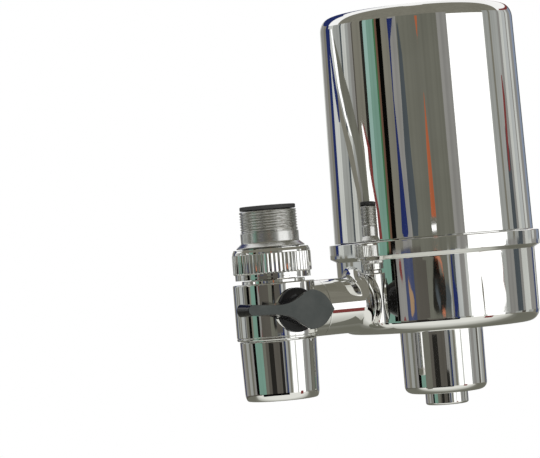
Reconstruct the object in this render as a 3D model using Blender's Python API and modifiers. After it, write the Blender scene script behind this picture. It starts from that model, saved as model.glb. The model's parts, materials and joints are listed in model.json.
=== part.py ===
"""Faucet mount water filter: threaded adapter, knurled swivel nut, diverter valve with lever,
bypass aerator, arm and canister base in one casting, screwed cover, cartridge and outlet.

Metres, +Z up. The origin is on the diverter's axis at the tap's end face; the arm runs along +X
to the canister, and the lever is on the -Y side."""

import math

import bmesh
import bpy
from mathutils import Matrix, Vector

# Clearances and smoothness
GAP = 0.0003
CANISTER_STEPS = 44
VALVE_STEPS = 28
SMALL_STEPS = 20
BORE_STEPS = 16
CORNER_STEPS = 3
RING_SIDES = 5
HANDLE_END_STEPS = 5
BLADE_STEPS = 20
SKIRT_STEPS = 5
FILLET_STEPS = 5
ROLL_STEPS = 4
LONGEST_ROUNDING = 0.48

# Faucet adapter
NECK_RADIUS = 0.01075
NECK_LENGTH = 0.00375
THREAD_STEP = 0.00015
SPIGOT_LENGTH = 0.0080
COLLAR_PROUD = 0.00185
COLLAR_HEIGHT = 0.0019
COLLAR_EDGE = 0.00025
ADAPTER_WALL = 0.0026
EDGE_CHAMFER = 0.0006
WASHER_THICKNESS = 0.0015
WASHER_LAP = 0.0006

# Swivel nut and stem
NUT_WALL = 0.0036
NUT_HEIGHT = 0.0112
NUT_SHOULDER = 0.00185
NUT_SHOULDER_ROUNDING = 0.0016
NUT_FOOT_HEIGHT = 0.0023
NUT_FOOT_STEP = 0.0006
NUT_FOOT_ROUNDING = 0.0009
NUT_LIP = 0.00125
FLUTE_COUNT = 56
FLUTE_RADIUS = 0.00046
FLUTE_OUTSET = 0.0001
STEM_RADIUS = 0.0081
STEM_BORE = 0.0055
STEM_FLANGE = 0.0015

# Diverter body
BODY_RADIUS = 0.01504
BODY_HEIGHT = 0.0206
BODY_BOSS_RADIUS = 0.0116
BODY_BOSS_HEIGHT = 0.00125
BODY_EDGE = 0.00035
BODY_BEAD_HEIGHT = 0.0008
BODY_BEAD_GROOVE = 0.00022
WATERWAY_RADIUS = 0.0036
SOCKET_FLOOR = 0.0014
BODY_SPIGOT_RADIUS = 0.0114
BODY_SPIGOT_LENGTH = 0.0059
BODY_SPIGOT_WALL = 0.0029
BODY_FLOOR = 0.0019

# Valve spindle and lever
SPINDLE_RADIUS = 0.0053
PORT_RADIUS = 0.0032
VALVE_END_WALL = 0.0065
VALVE_BOSS_WALL = 0.0021
VALVE_BOSS_PROUD = 0.00046
CLIP_GROOVE_DEPTH = 0.0013
CLIP_GROOVE_WIDTH = 0.0015
CLIP_FRONT_WALL = 0.0008
CLIP_SLOT_TURN = math.radians(36.0)
SPINDLE_NECK_RADIUS = 0.0033
SPINDLE_SQUARE = 0.0050
SPINDLE_DRIVE_LENGTH = 0.0060
RING_INSET = 0.0026
LEVER_REST_TURN = math.radians(3.75)
LEVER_DEPTH = 0.0102
LEVER_SKIRT_RADIUS = 0.0081
LEVER_SKIRT_HEIGHT = 0.0008
LEVER_WAIST_RADIUS = 0.0040
LEVER_WAIST_FRONT = 0.0082
LEVER_WAIST_BEND = 0.0072
LEVER_HANDLE_END = -0.0246
LEVER_HANDLE_ROUND = 0.0019
LEVER_POINTER_END = 0.0103
LEVER_EDGE = 0.00025
LEVER_BACK_ROUND = 0.0012
HANDLE_DRAFT = 1.20
LEAF_DRAFT = 0.72
LEAF_START = -0.0100
# Half the front face's height at some distances right of the pivot
LEVER_OUTLINE = (
    (-0.0227, 0.00190),
    (-0.0123, 0.00175),
    (-0.0080, 0.00250),
    (-0.0049, 0.00400),
    (-0.0006, 0.00670),
    (0.0016, 0.00715),
    (0.0043, 0.00645),
    (0.0067, 0.00500),
    (0.0090, 0.00220),
)

# Bypass sleeve and aerator
SLEEVE_WALL = 0.00244
SLEEVE_TAPER = 0.0005
SLEEVE_LENGTH = 0.0219
SLEEVE_ROLL_WIDTH = 0.0010
SLEEVE_ROLL_HEIGHT = 0.0030
SLEEVE_LIP = 0.0025
SLEEVE_STEP = 0.0011
SLEEVE_MOUTH_STEP = 0.0018
INSERT_FLANGE = 0.0014
INSERT_FLANGE_PROUD = 0.0007
INSERT_WALL = 0.0012
INSERT_PLATE = 0.0012
INSERT_PLATE_DEPTH = 0.0030
INSERT_RIM = 0.0010
INSERT_HOLES = 8
INSERT_HOLE_SIDES = 6
INSERT_HOLE_RING = 0.0050
INSERT_HOLE_TURN = math.radians(7.0)
INSERT_HOLE_RADIUS = 0.0010
SCREEN_THICKNESS = 0.0006
SCREEN_PITCH = 0.0031
SCREEN_HOLE = 0.0021

# Arm and its joint to the valve
ARM_RADIUS = 0.01045
ARM_DROP = 0.00055
ARM_FILLET = 0.0040
ARM_SIDES = 32
STUB_PROUD = 0.00246
NIPPLE_RADIUS = 0.0070
NIPPLE_LENGTH = 0.0116

# Canister base
CANISTER_X = 0.0711
BASE_RADIUS = 0.0380
BASE_WALL = 0.0030
BASE_FLOOR = 0.0036
BASE_ROUNDING = 0.0045
BASE_BELOW_ARM = 0.01185
BAND_ABOVE_ARM = 0.02275
BAND_PROUD = 0.0022
BAND_HEIGHT = 0.0054
BAND_SLOPE = 0.0012
COLLAR_WALL = 0.0017
SOCKET_HEIGHT = 0.0105
SOCKET_WALL = 0.0030
OUTLET_BORE = 0.0042

# Cover
COVER_HEIGHT = 0.0864
COVER_FOOT_PROUD = 0.0001
COVER_TAPER = 0.0012
COVER_ROLL_WIDTH = 0.0034
COVER_ROLL_HEIGHT = 0.0050
COVER_WALL = 0.0023
SKIRT_LENGTH = 0.0090
SKIRT_WALL = 0.0038
RING_BELOW_BAND = 0.0057

# Cartridge
WATER_SPACE = 0.0024
CAP_RIM = 0.0012
CAP_RIM_HEIGHT = 0.0040
CAP_THICKNESS = 0.0030
CAP_HEADROOM = 0.0111
CAP_PAD_RADIUS = 0.0090
FLEECE_THICKNESS = 0.0010
BLOCK_BORE = 0.0090
CORE_WALL = 0.0014
CORE_SLOT_WIDTH = 0.0030
CORE_SLOT_HEIGHT = 0.0150
CORE_SLOT_ROWS = 3
CARTRIDGE_SPIGOT_RADIUS = 0.0060
CARTRIDGE_SPIGOT_LENGTH = 0.0070
CARTRIDGE_SPIGOT_BORE = 0.0032

# Outlet
OUTLET_SPIGOT_RADIUS = 0.0120
OUTLET_SPIGOT_LENGTH = 0.0074
OUTLET_GASKET_BORE = 0.0066
HOUSING_WALL = 0.0036
HOUSING_TAPER = 0.0001
HOUSING_LENGTH = 0.0242
HOUSING_ROUNDING = 0.0028
HOUSING_FLOOR = 0.0041
HOUSING_STEP = 0.0015
RESTRICTOR_THICKNESS = 0.0012
RESTRICTOR_HOLE = 0.0020
SPOUT_RADIUS = 0.0082
SPOUT_BORE = 0.0058
SPOUT_REACH = 0.0048
SPOUT_FLANGE_PROUD = 0.0018
SPOUT_FLANGE = 0.0016
SPOUT_ROUNDING = 0.0008

# O-ring sections
SMALL_RING = 0.00050
COVER_RING = 0.00080

# Places worked out from the sizes, from the tap downwards
THREAD_RADIUS = NECK_RADIUS - THREAD_STEP
ADAPTER_BORE = THREAD_RADIUS - ADAPTER_WALL
COLLAR_BOTTOM = -NECK_LENGTH - COLLAR_HEIGHT
NUT_BORE = THREAD_RADIUS + GAP
NUT_RADIUS = NUT_BORE + NUT_WALL
NUT_TOP = COLLAR_BOTTOM - GAP
NUT_BOTTOM = NUT_TOP - NUT_HEIGHT
STEM_FLANGE_BOTTOM = NUT_BOTTOM + NUT_LIP + GAP
STEM_TOP = STEM_FLANGE_BOTTOM + STEM_FLANGE
GASKET_BOTTOM = STEM_TOP + GAP
ADAPTER_BOTTOM = GASKET_BOTTOM + WASHER_THICKNESS + GAP

BODY_BOSS_TOP = NUT_BOTTOM - GAP
BODY_TOP = BODY_BOSS_TOP - BODY_BOSS_HEIGHT
BODY_BOTTOM = BODY_TOP - BODY_HEIGHT
VALVE_Z = (BODY_TOP + BODY_BOTTOM) / 2
VALVE_BORE = SPINDLE_RADIUS + GAP
VALVE_BOSS_RADIUS = VALVE_BORE + VALVE_BOSS_WALL
VALVE_FRONT = -BODY_RADIUS - VALVE_BOSS_PROUD
VALVE_REAR = BODY_RADIUS - VALVE_END_WALL
STEM_SOCKET_BOTTOM = VALVE_Z + VALVE_BORE + SOCKET_FLOOR
CLIP_GROOVE_FRONT = VALVE_FRONT + CLIP_FRONT_WALL
CLIP_GROOVE_REAR = CLIP_GROOVE_FRONT + CLIP_GROOVE_WIDTH
LEVER_REAR = VALVE_FRONT - GAP
LEVER_FRONT = LEVER_REAR - LEVER_DEPTH

BODY_SPIGOT_BOTTOM = BODY_BOTTOM - BODY_SPIGOT_LENGTH
SLEEVE_TOP = BODY_BOTTOM - GAP
SLEEVE_BOTTOM = SLEEVE_TOP - SLEEVE_LENGTH
SLEEVE_THREAD_BORE = BODY_SPIGOT_RADIUS + GAP
SLEEVE_RADIUS = SLEEVE_THREAD_BORE + SLEEVE_WALL
SLEEVE_BORE = SLEEVE_THREAD_BORE - SLEEVE_STEP
SLEEVE_MOUTH = SLEEVE_BORE - SLEEVE_MOUTH_STEP
AERATOR_WASHER_TOP = BODY_SPIGOT_BOTTOM - GAP
INSERT_TOP = AERATOR_WASHER_TOP - WASHER_THICKNESS - GAP
INSERT_BOTTOM = SLEEVE_BOTTOM + SLEEVE_LIP + GAP
INSERT_RADIUS = SLEEVE_BORE - GAP
INSERT_BORE = INSERT_RADIUS - INSERT_FLANGE_PROUD - INSERT_WALL

ARM_Z = VALVE_Z - ARM_DROP
STUB_END = BODY_RADIUS + STUB_PROUD
ARM_START = STUB_END + GAP
NIPPLE_START = (STUB_END + ARM_START - NIPPLE_LENGTH) / 2
NIPPLE_END = NIPPLE_START + NIPPLE_LENGTH
NIPPLE_SOCKET = NIPPLE_RADIUS + GAP
ARM_RING_X = (NIPPLE_START + STUB_END) / 2

BAND_TOP = ARM_Z + BAND_ABOVE_ARM
BASE_BOTTOM = ARM_Z - BASE_BELOW_ARM
BASE_INSIDE = BASE_RADIUS - BASE_WALL
BASE_FLOOR_TOP = BASE_BOTTOM + BASE_FLOOR
COLLAR_BORE = BASE_RADIUS - COLLAR_WALL
SKIRT_RADIUS = COLLAR_BORE - GAP
SKIRT_BORE = SKIRT_RADIUS - SKIRT_WALL
SKIRT_BOTTOM = BAND_TOP - SKIRT_LENGTH
COVER_FOOT = BAND_TOP + GAP
COVER_TOP = COVER_FOOT + COVER_HEIGHT
COVER_FOOT_RADIUS = BASE_RADIUS + COVER_FOOT_PROUD
COVER_TOP_RADIUS = COVER_FOOT_RADIUS - COVER_TAPER
COVER_INSIDE_TOP = COVER_TOP - COVER_WALL
COVER_RING_Z = BAND_TOP - RING_BELOW_BAND

SOCKET_TOP = BASE_FLOOR_TOP + SOCKET_HEIGHT
CARTRIDGE_BOTTOM = SOCKET_TOP + GAP
CAP_RADIUS = SKIRT_BORE - WATER_SPACE
FLEECE_RADIUS = CAP_RADIUS - CAP_RIM - GAP
BLOCK_RADIUS = FLEECE_RADIUS - FLEECE_THICKNESS - GAP
BLOCK_BOTTOM = CARTRIDGE_BOTTOM + CAP_THICKNESS + GAP
TOP_CAP_BOTTOM = COVER_INSIDE_TOP - CAP_HEADROOM
BLOCK_TOP = TOP_CAP_BOTTOM - GAP
CORE_RADIUS = BLOCK_BORE - GAP
CARTRIDGE_SOCKET = CARTRIDGE_SPIGOT_RADIUS + GAP
SPIGOT_END = CARTRIDGE_BOTTOM - CARTRIDGE_SPIGOT_LENGTH
CARTRIDGE_RING_Z = (CARTRIDGE_BOTTOM + SPIGOT_END) / 2

OUTLET_SPIGOT_BOTTOM = BASE_BOTTOM - OUTLET_SPIGOT_LENGTH
HOUSING_TOP = BASE_BOTTOM - GAP
HOUSING_BOTTOM = HOUSING_TOP - HOUSING_LENGTH
HOUSING_BORE = OUTLET_SPIGOT_RADIUS + GAP
HOUSING_RADIUS = HOUSING_BORE + HOUSING_WALL
HOUSING_CAVITY = HOUSING_BORE - HOUSING_STEP
OUTLET_GASKET_TOP = OUTLET_SPIGOT_BOTTOM - GAP
RESTRICTOR_TOP = OUTLET_GASKET_TOP - WASHER_THICKNESS - GAP
HOUSING_STEP_Z = RESTRICTOR_TOP - RESTRICTOR_THICKNESS - GAP
SPOUT_TOP = HOUSING_BOTTOM + HOUSING_FLOOR + GAP + SPOUT_FLANGE
SPOUT_BOTTOM = HOUSING_BOTTOM - SPOUT_REACH

# How far a cutter runs past the faces that it cuts through
PAST = 0.0010

# Colour, roughness and metallic value of each material
FINISHES = {
    "chrome": ((0.80, 0.80, 0.79), 0.06, 1.0),
    "inner_metal": ((0.62, 0.60, 0.55), 0.28, 1.0),
    "black_plastic": ((0.030, 0.031, 0.033), 0.42, 0.0),
    "white_plastic": ((0.78, 0.78, 0.75), 0.40, 0.0),
    "rubber": ((0.025, 0.025, 0.026), 0.70, 0.0),
    "carbon": ((0.020, 0.020, 0.021), 0.85, 0.0),
    "fleece": ((0.85, 0.84, 0.80), 0.95, 0.0),
    "mesh_steel": ((0.60, 0.60, 0.58), 0.30, 1.0),
}


def clear_scene():
    for old in list(bpy.data.objects):
        bpy.data.objects.remove(old, do_unlink=True)


def new_collection(name):
    made = bpy.data.collections.new(name)
    bpy.context.scene.collection.children.link(made)
    return made


clear_scene()
PARTS = new_collection("faucet_mount_water_filter")
CUTTERS = new_collection("cutters")
CUTTERS.hide_render = True


def finish_of(slot):
    """The material of one finish, made the first time that it is asked for."""
    name = "finish_" + slot
    if name in bpy.data.materials:
        return bpy.data.materials[name]
    colour, roughness, metallic = FINISHES[slot]
    made = bpy.data.materials.new(name)
    made.use_nodes = True
    shader = made.node_tree.nodes["Principled BSDF"]
    shader.inputs["Base Color"].default_value = (*colour, 1.0)
    shader.inputs["Roughness"].default_value = roughness
    shader.inputs["Metallic"].default_value = metallic
    made.diffuse_color = (*colour, 1.0)
    return made


def add_object(name, mesh, collection=PARTS):
    made = bpy.data.objects.new(name, mesh)
    collection.objects.link(made)
    if collection is CUTTERS:
        made.hide_render = True
        made.display_type = "WIRE"
    return made


def from_bmesh(name, shape, collection=PARTS):
    mesh = bpy.data.meshes.new(name)
    shape.to_mesh(mesh)
    shape.free()
    return add_object(name, mesh, collection)


def eased(before, here, after, reaches, steps):
    """Points of a quarter ellipse in a corner, with its own reach along each of the two sides."""
    first = before.normalized() * reaches[0]
    last = after.normalized() * reaches[1]
    points = []
    for step in range(steps + 1):
        turn = math.pi / 2 * step / steps
        points.append(here + first * (1 - math.sin(turn)) + last * (1 - math.cos(turn)))
    return points


def rounded(corners, steps=CORNER_STEPS):
    """Points of a closed outline from corners (across, up, rounding), or with their own steps as well.

    A rounding is a radius, or a pair of reaches along the side before and the side after."""
    points = []
    count = len(corners)
    for index, corner in enumerate(corners):
        across, up, rounding = corner[:3]
        corner_steps = corner[3] if len(corner) > 3 else steps
        here = Vector((across, up))
        before = Vector(corners[index - 1][:2]) - here
        after = Vector(corners[(index + 1) % count][:2]) - here
        if isinstance(rounding, tuple):
            points += eased(before, here, after, rounding, corner_steps)
            continue
        if rounding <= 0.0:
            points.append(here)
            continue
        half = before.angle(after) / 2
        longest = LONGEST_ROUNDING * min(before.length, after.length)
        reach = min(rounding / math.tan(half), longest)
        radius = reach * math.tan(half)
        centre = here + (before.normalized() + after.normalized()).normalized() * radius / math.sin(half)
        first = here + before.normalized() * reach - centre
        last = here + after.normalized() * reach - centre
        turn = math.atan2(first.x * last.y - first.y * last.x, first.dot(last))
        for step in range(corner_steps + 1):
            points.append(centre + Matrix.Rotation(turn * step / corner_steps, 2) @ first)
    return points


def turned(name, corners, steps, collection=PARTS, closed=True, corner_steps=CORNER_STEPS):
    """A solid turned about Z from corners (radius, z, rounding) that run down its outer side.

    A closed outline is a ring with a bore. An open one starts and ends on the axis."""
    points = rounded(corners, corner_steps)
    edges = [(index, index + 1) for index in range(len(points) - 1)]
    if closed:
        edges.append((len(points) - 1, 0))
    mesh = bpy.data.meshes.new(name)
    mesh.from_pydata([(point.x, 0.0, point.y) for point in points], edges, [])
    made = add_object(name, mesh, collection)
    screw = made.modifiers.new("turn", "SCREW")
    screw.axis = "Z"
    screw.angle = math.tau
    screw.steps = steps
    screw.render_steps = steps
    screw.use_merge_vertices = True
    screw.merge_threshold = 0.000001
    return made


def ring(name, outer, inner, bottom, top, steps=SMALL_STEPS, collection=PARTS):
    corners = [(outer, top, 0), (outer, bottom, 0), (inner, bottom, 0), (inner, top, 0)]
    return turned(name, corners, steps, collection)


def disc(name, radius, bottom, top, steps=SMALL_STEPS, collection=PARTS):
    corners = [(0, top, 0), (radius, top, 0), (radius, bottom, 0), (0, bottom, 0)]
    return turned(name, corners, steps, collection, closed=False)


def rod(name, radius, start, end, steps=SMALL_STEPS, collection=PARTS):
    """A round bar between two points, its object at the middle and turned along it."""
    start, end = Vector(start), Vector(end)
    shape = bmesh.new()
    bmesh.ops.create_cone(
        shape,
        cap_ends=True,
        segments=steps,
        radius1=radius,
        radius2=radius,
        depth=(end - start).length,
    )
    made = from_bmesh(name, shape, collection)
    made.location = (start + end) / 2
    made.rotation_mode = "QUATERNION"
    made.rotation_quaternion = (end - start).to_track_quat("Z", "Y")
    return made


def block(name, size, centre, collection=PARTS):
    shape = bmesh.new()
    bmesh.ops.create_cube(shape, size=1.0, matrix=Matrix.Diagonal((*size, 1.0)))
    made = from_bmesh(name, shape, collection)
    made.location = centre
    return made


def o_ring(name, ring_radius, section_radius, centre, turn=(0, 0, 0), steps=BORE_STEPS):
    bpy.ops.mesh.primitive_torus_add(
        location=centre,
        rotation=turn,
        major_radius=ring_radius,
        minor_radius=section_radius,
        major_segments=steps,
        minor_segments=RING_SIDES,
    )
    made = bpy.context.object
    made.name = name
    for holder in list(made.users_collection):
        holder.objects.unlink(made)
    PARTS.objects.link(made)
    return made


def change(target, tool, operation):
    """A live Boolean of one object on another; a joined piece becomes a helper."""
    step = target.modifiers.new(operation.lower(), "BOOLEAN")
    step.operation = operation
    step.solver = "EXACT"
    step.object = tool
    return target


def cut(target, *tools):
    for tool in tools:
        change(target, tool, "DIFFERENCE")
    return target


def join(target, *tools):
    for tool in tools:
        change(target, tool, "UNION")
    return target


def settle(piece, slot, sharp=math.radians(28.0)):
    """Turns the live modifiers into the piece's own mesh, and gives it its finish and shading."""
    graph = bpy.context.evaluated_depsgraph_get()
    mesh = bpy.data.meshes.new_from_object(piece.evaluated_get(graph))
    piece.modifiers.clear()
    piece.data = mesh
    mesh.name = piece.name
    shape = bmesh.new()
    shape.from_mesh(mesh)
    bmesh.ops.remove_doubles(shape, verts=shape.verts, dist=0.000002)
    bmesh.ops.dissolve_degenerate(shape, edges=shape.edges, dist=0.000002)
    shape.to_mesh(mesh)
    shape.free()
    mesh.materials.clear()
    mesh.materials.append(finish_of(slot))
    mesh.shade_smooth()
    mesh.set_sharp_from_angle(angle=sharp)
    return piece


def groove_for(section_radius):
    """Width of the groove that holds an O-ring of one section."""
    return 2 * section_radius + 2 * GAP


def ring_in_groove(outer_wall, section_radius):
    """Ring radius of an O-ring that lies just inside an outer wall, and its groove's bottom."""
    ring_radius = outer_wall - GAP - section_radius
    return ring_radius, ring_radius - section_radius - GAP


def grooved_wall(wall, bottom, middle, section_radius):
    """Corners of a round wall, run downwards, with one O-ring groove cut in it."""
    half = groove_for(section_radius) / 2
    return [
        (wall, middle + half, 0),
        (bottom, middle + half, 0),
        (bottom, middle - half, 0),
        (wall, middle - half, 0),
    ]


def faucet_adapter():
    collar = NECK_RADIUS + COLLAR_PROUD
    corners = [
        (THREAD_RADIUS - EDGE_CHAMFER, SPIGOT_LENGTH, 0),
        (THREAD_RADIUS, SPIGOT_LENGTH - EDGE_CHAMFER, 0),
        (THREAD_RADIUS, 0, 0),
        (NECK_RADIUS, 0, 0),
        (NECK_RADIUS, -NECK_LENGTH, 0),
        (collar, COLLAR_BOTTOM + COLLAR_EDGE, 0),
        (collar, COLLAR_BOTTOM, 0),
        (THREAD_RADIUS, COLLAR_BOTTOM, 0),
        (THREAD_RADIUS, ADAPTER_BOTTOM + EDGE_CHAMFER, 0),
        (THREAD_RADIUS - EDGE_CHAMFER, ADAPTER_BOTTOM, 0),
        (ADAPTER_BORE, ADAPTER_BOTTOM, 0),
        (ADAPTER_BORE, SPIGOT_LENGTH, 0),
    ]
    return settle(turned("faucet_adapter", corners, VALVE_STEPS), "chrome")


def adapter_washer():
    bottom = SPIGOT_LENGTH + GAP
    top = bottom + WASHER_THICKNESS
    made = ring("adapter_washer", THREAD_RADIUS - GAP, ADAPTER_BORE - WASHER_LAP, bottom, top)
    return settle(made, "rubber")


def nut_gasket():
    top = GASKET_BOTTOM + WASHER_THICKNESS
    made = ring("nut_gasket", NUT_BORE - 2 * GAP, ADAPTER_BORE - WASHER_LAP, GASKET_BOTTOM, top)
    return settle(made, "rubber")


def flute_cutters():
    """One round bar for each groove of the knurl, all in one mesh."""
    shape = bmesh.new()
    top = NUT_TOP - NUT_SHOULDER
    bottom = NUT_BOTTOM + NUT_FOOT_HEIGHT
    for index in range(FLUTE_COUNT):
        turn = Matrix.Rotation(math.tau * (index + 0.5) / FLUTE_COUNT, 4, "Z")
        place = Matrix.Translation((NUT_RADIUS + FLUTE_OUTSET, 0, (top + bottom) / 2))
        bmesh.ops.create_cone(
            shape,
            cap_ends=True,
            segments=4,
            radius1=FLUTE_RADIUS,
            radius2=FLUTE_RADIUS,
            depth=top - bottom,
            matrix=turn @ place,
        )
    return from_bmesh("flute_cutters", shape, CUTTERS)


def nut_bore():
    """Threaded bore with a chamfered mouth, above the lip's smaller hole."""
    lip_top = NUT_BOTTOM + NUT_LIP
    corners = [
        (0, NUT_TOP + PAST, 0),
        (NUT_BORE + EDGE_CHAMFER + PAST, NUT_TOP + PAST, 0),
        (NUT_BORE, NUT_TOP - EDGE_CHAMFER, 0),
        (NUT_BORE, lip_top, 0),
        (STEM_RADIUS + GAP, lip_top, 0),
        (STEM_RADIUS + GAP, NUT_BOTTOM - PAST, 0),
        (0, NUT_BOTTOM - PAST, 0),
    ]
    return turned("nut_bore", corners, VALVE_STEPS, CUTTERS, closed=False)


def swivel_nut():
    foot = NUT_RADIUS - NUT_FOOT_STEP
    foot_top = NUT_BOTTOM + NUT_FOOT_HEIGHT
    corners = [
        (0, NUT_TOP, 0),
        (NUT_RADIUS - FLUTE_RADIUS / 2, NUT_TOP, NUT_SHOULDER_ROUNDING, 2),
        (NUT_RADIUS - FLUTE_RADIUS / 2, NUT_TOP - NUT_SHOULDER, 0),
        (NUT_RADIUS, NUT_TOP - NUT_SHOULDER, 0),
        (NUT_RADIUS, foot_top, 0),
        (foot, foot_top - NUT_FOOT_STEP / 2, 0),
        (foot, NUT_BOTTOM, NUT_FOOT_ROUNDING, 2),
        (0, NUT_BOTTOM, 0),
    ]
    made = turned("swivel_nut", corners, FLUTE_COUNT, closed=False)
    return settle(cut(made, flute_cutters(), nut_bore()), "chrome")


def swivel_stem():
    socket_wall = STEM_RADIUS + GAP
    bottom = STEM_SOCKET_BOTTOM + GAP
    ring_z = (BODY_BOSS_TOP + bottom) / 2
    groove = ring_in_groove(socket_wall, SMALL_RING)[1]
    corners = [(NUT_BORE - 2 * GAP, STEM_TOP, 0), (NUT_BORE - 2 * GAP, STEM_FLANGE_BOTTOM, 0)]
    corners.append((STEM_RADIUS, STEM_FLANGE_BOTTOM, 0))
    corners += grooved_wall(STEM_RADIUS, groove, ring_z, SMALL_RING)
    corners += [(STEM_RADIUS, bottom, 0), (STEM_BORE, bottom, 0), (STEM_BORE, STEM_TOP, 0)]
    return settle(turned("swivel_stem", corners, SMALL_STEPS), "inner_metal")


def stem_o_ring():
    ring_radius = ring_in_groove(STEM_RADIUS + GAP, SMALL_RING)[0]
    middle = (BODY_BOSS_TOP + STEM_SOCKET_BOTTOM + GAP) / 2
    return settle(o_ring("stem_o_ring", ring_radius, SMALL_RING, (0, 0, middle)), "rubber")


def body_core():
    """Upright cylinder of the valve with its top boss, its bead and the threaded spigot below."""
    bead = BODY_BOTTOM + BODY_BEAD_HEIGHT
    corners = [
        (0, BODY_BOSS_TOP, 0),
        (BODY_BOSS_RADIUS, BODY_BOSS_TOP, 0),
        (BODY_BOSS_RADIUS, BODY_TOP, 0),
        (BODY_RADIUS, BODY_TOP, BODY_EDGE),
        (BODY_RADIUS, bead + 2 * BODY_BEAD_GROOVE, 0),
        (BODY_RADIUS - BODY_BEAD_GROOVE, bead + BODY_BEAD_GROOVE, 0),
        (BODY_RADIUS, bead, 0),
        (BODY_RADIUS, BODY_BOTTOM, BODY_EDGE),
        (BODY_SPIGOT_RADIUS, BODY_BOTTOM, 0),
        (BODY_SPIGOT_RADIUS, BODY_SPIGOT_BOTTOM, EDGE_CHAMFER),
        (0, BODY_SPIGOT_BOTTOM, 0),
    ]
    return turned("diverter_body", corners, VALVE_STEPS, closed=False, corner_steps=1)


def body_cutters():
    """Stem socket, valve bore, clip groove, nipple socket and the three waterways."""
    socket = STEM_RADIUS + GAP
    pocket = BODY_SPIGOT_RADIUS - BODY_SPIGOT_WALL
    return (
        disc("stem_socket", socket, STEM_SOCKET_BOTTOM, BODY_BOSS_TOP + PAST, collection=CUTTERS),
        rod("valve_bore", VALVE_BORE, (0, VALVE_FRONT - PAST, VALVE_Z), (0, VALVE_REAR, VALVE_Z),
            collection=CUTTERS),
        rod("clip_groove", VALVE_BORE + CLIP_GROOVE_DEPTH, (0, CLIP_GROOVE_FRONT, VALVE_Z),
            (0, CLIP_GROOVE_REAR, VALVE_Z), collection=CUTTERS),
        rod("nipple_socket", NIPPLE_SOCKET, (NIPPLE_START - GAP, 0, ARM_Z),
            (STUB_END + PAST, 0, ARM_Z), collection=CUTTERS),
        rod("side_waterway", WATERWAY_RADIUS, (0, 0, ARM_Z), (NIPPLE_START, 0, ARM_Z),
            BORE_STEPS, CUTTERS),
        rod("upright_waterway", WATERWAY_RADIUS, (0, 0, BODY_SPIGOT_BOTTOM),
            (0, 0, STEM_SOCKET_BOTTOM + PAST), BORE_STEPS, CUTTERS),
        disc("spigot_pocket", pocket, BODY_SPIGOT_BOTTOM - PAST, BODY_BOTTOM - BODY_FLOOR,
             collection=CUTTERS),
    )


def arm_stub():
    """The body's short end of the arm, cut clear of the sleeve below."""
    stub = rod("arm_stub", ARM_RADIUS, (0, 0, ARM_Z), (STUB_END, 0, ARM_Z), ARM_SIDES, CUTTERS)
    room = disc("sleeve_room", SLEEVE_RADIUS + GAP, BODY_BOTTOM - ARM_RADIUS, BODY_BOTTOM,
                VALVE_STEPS, CUTTERS)
    return cut(stub, room)


def valve_boss():
    start = (0, VALVE_FRONT, VALVE_Z)
    return rod("valve_boss", VALVE_BOSS_RADIUS, start, (0, 0, VALVE_Z), SMALL_STEPS, CUTTERS)


def diverter_body():
    made = join(body_core(), arm_stub(), valve_boss())
    return settle(cut(made, *body_cutters()), "chrome")


def spindle_ring_places():
    """Distances along Y of the two O-rings on the spindle."""
    rear = VALVE_REAR - GAP - RING_INSET
    front = CLIP_GROOVE_REAR + RING_INSET
    return front, rear


def laid_along_y(piece):
    """Turns a piece made about Z so that its top looks towards the lever, and centres it on the valve."""
    piece.rotation_euler = (math.radians(90.0), 0, 0)
    piece.location = (0, 0, VALVE_Z)
    return piece


def valve_spindle():
    groove = ring_in_groove(VALVE_BORE, SMALL_RING)[1]
    front, rear = spindle_ring_places()
    drive = LEVER_REAR - SPINDLE_DRIVE_LENGTH + GAP
    corners = [(0, -LEVER_REAR, 0), (SPINDLE_NECK_RADIUS, -LEVER_REAR, 0)]
    corners += [(SPINDLE_NECK_RADIUS, -CLIP_GROOVE_REAR, 0), (SPINDLE_RADIUS, -CLIP_GROOVE_REAR, 0)]
    corners += grooved_wall(SPINDLE_RADIUS, groove, -front, SMALL_RING)
    corners += grooved_wall(SPINDLE_RADIUS, groove, -rear, SMALL_RING)
    corners += [(SPINDLE_RADIUS, -VALVE_REAR + GAP, 0), (0, -VALVE_REAR + GAP, 0)]
    made = laid_along_y(turned("valve_spindle", corners, SMALL_STEPS, closed=False))
    square_size = (SPINDLE_SQUARE, LEVER_REAR - drive + 2 * PAST, SPINDLE_SQUARE)
    square = block("spindle_square", square_size, (0, drive + square_size[1] / 2, VALVE_Z), CUTTERS)
    reach = SPINDLE_RADIUS + PAST
    across = rod("port_across", PORT_RADIUS, (-reach, 0, VALVE_Z), (reach, 0, VALVE_Z), BORE_STEPS, CUTTERS)
    up = rod("port_up", PORT_RADIUS, (0, 0, VALVE_Z), (0, 0, VALVE_Z + reach), BORE_STEPS, CUTTERS)
    return settle(cut(join(made, square), across, up), "inner_metal")


def spindle_o_rings():
    ring_radius = ring_in_groove(VALVE_BORE, SMALL_RING)[0]
    front, rear = spindle_ring_places()
    turn = (math.radians(90.0), 0, 0)
    places = (("spindle_o_ring_front", front), ("spindle_o_ring_rear", rear))
    return [
        settle(o_ring(name, ring_radius, SMALL_RING, (0, along, VALVE_Z), turn), "rubber")
        for name, along in places
    ]


def spindle_clip():
    """Spring ring in the bore's groove, open at its foot."""
    middle = (CLIP_GROOVE_FRONT + CLIP_GROOVE_REAR) / 2
    half = CLIP_GROOVE_WIDTH / 2 - GAP
    outer = VALVE_BORE + CLIP_GROOVE_DEPTH - GAP
    inner = SPINDLE_NECK_RADIUS + GAP
    made = laid_along_y(ring("spindle_clip", outer, inner, -middle - half, -middle + half))
    width = 2 * outer * math.sin(CLIP_SLOT_TURN / 2)
    slot = block("clip_slot", (width, CLIP_GROOVE_WIDTH, 2 * outer),
                 (0, middle, VALVE_Z - outer), CUTTERS)
    return settle(cut(made, slot), "mesh_steel")


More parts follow.
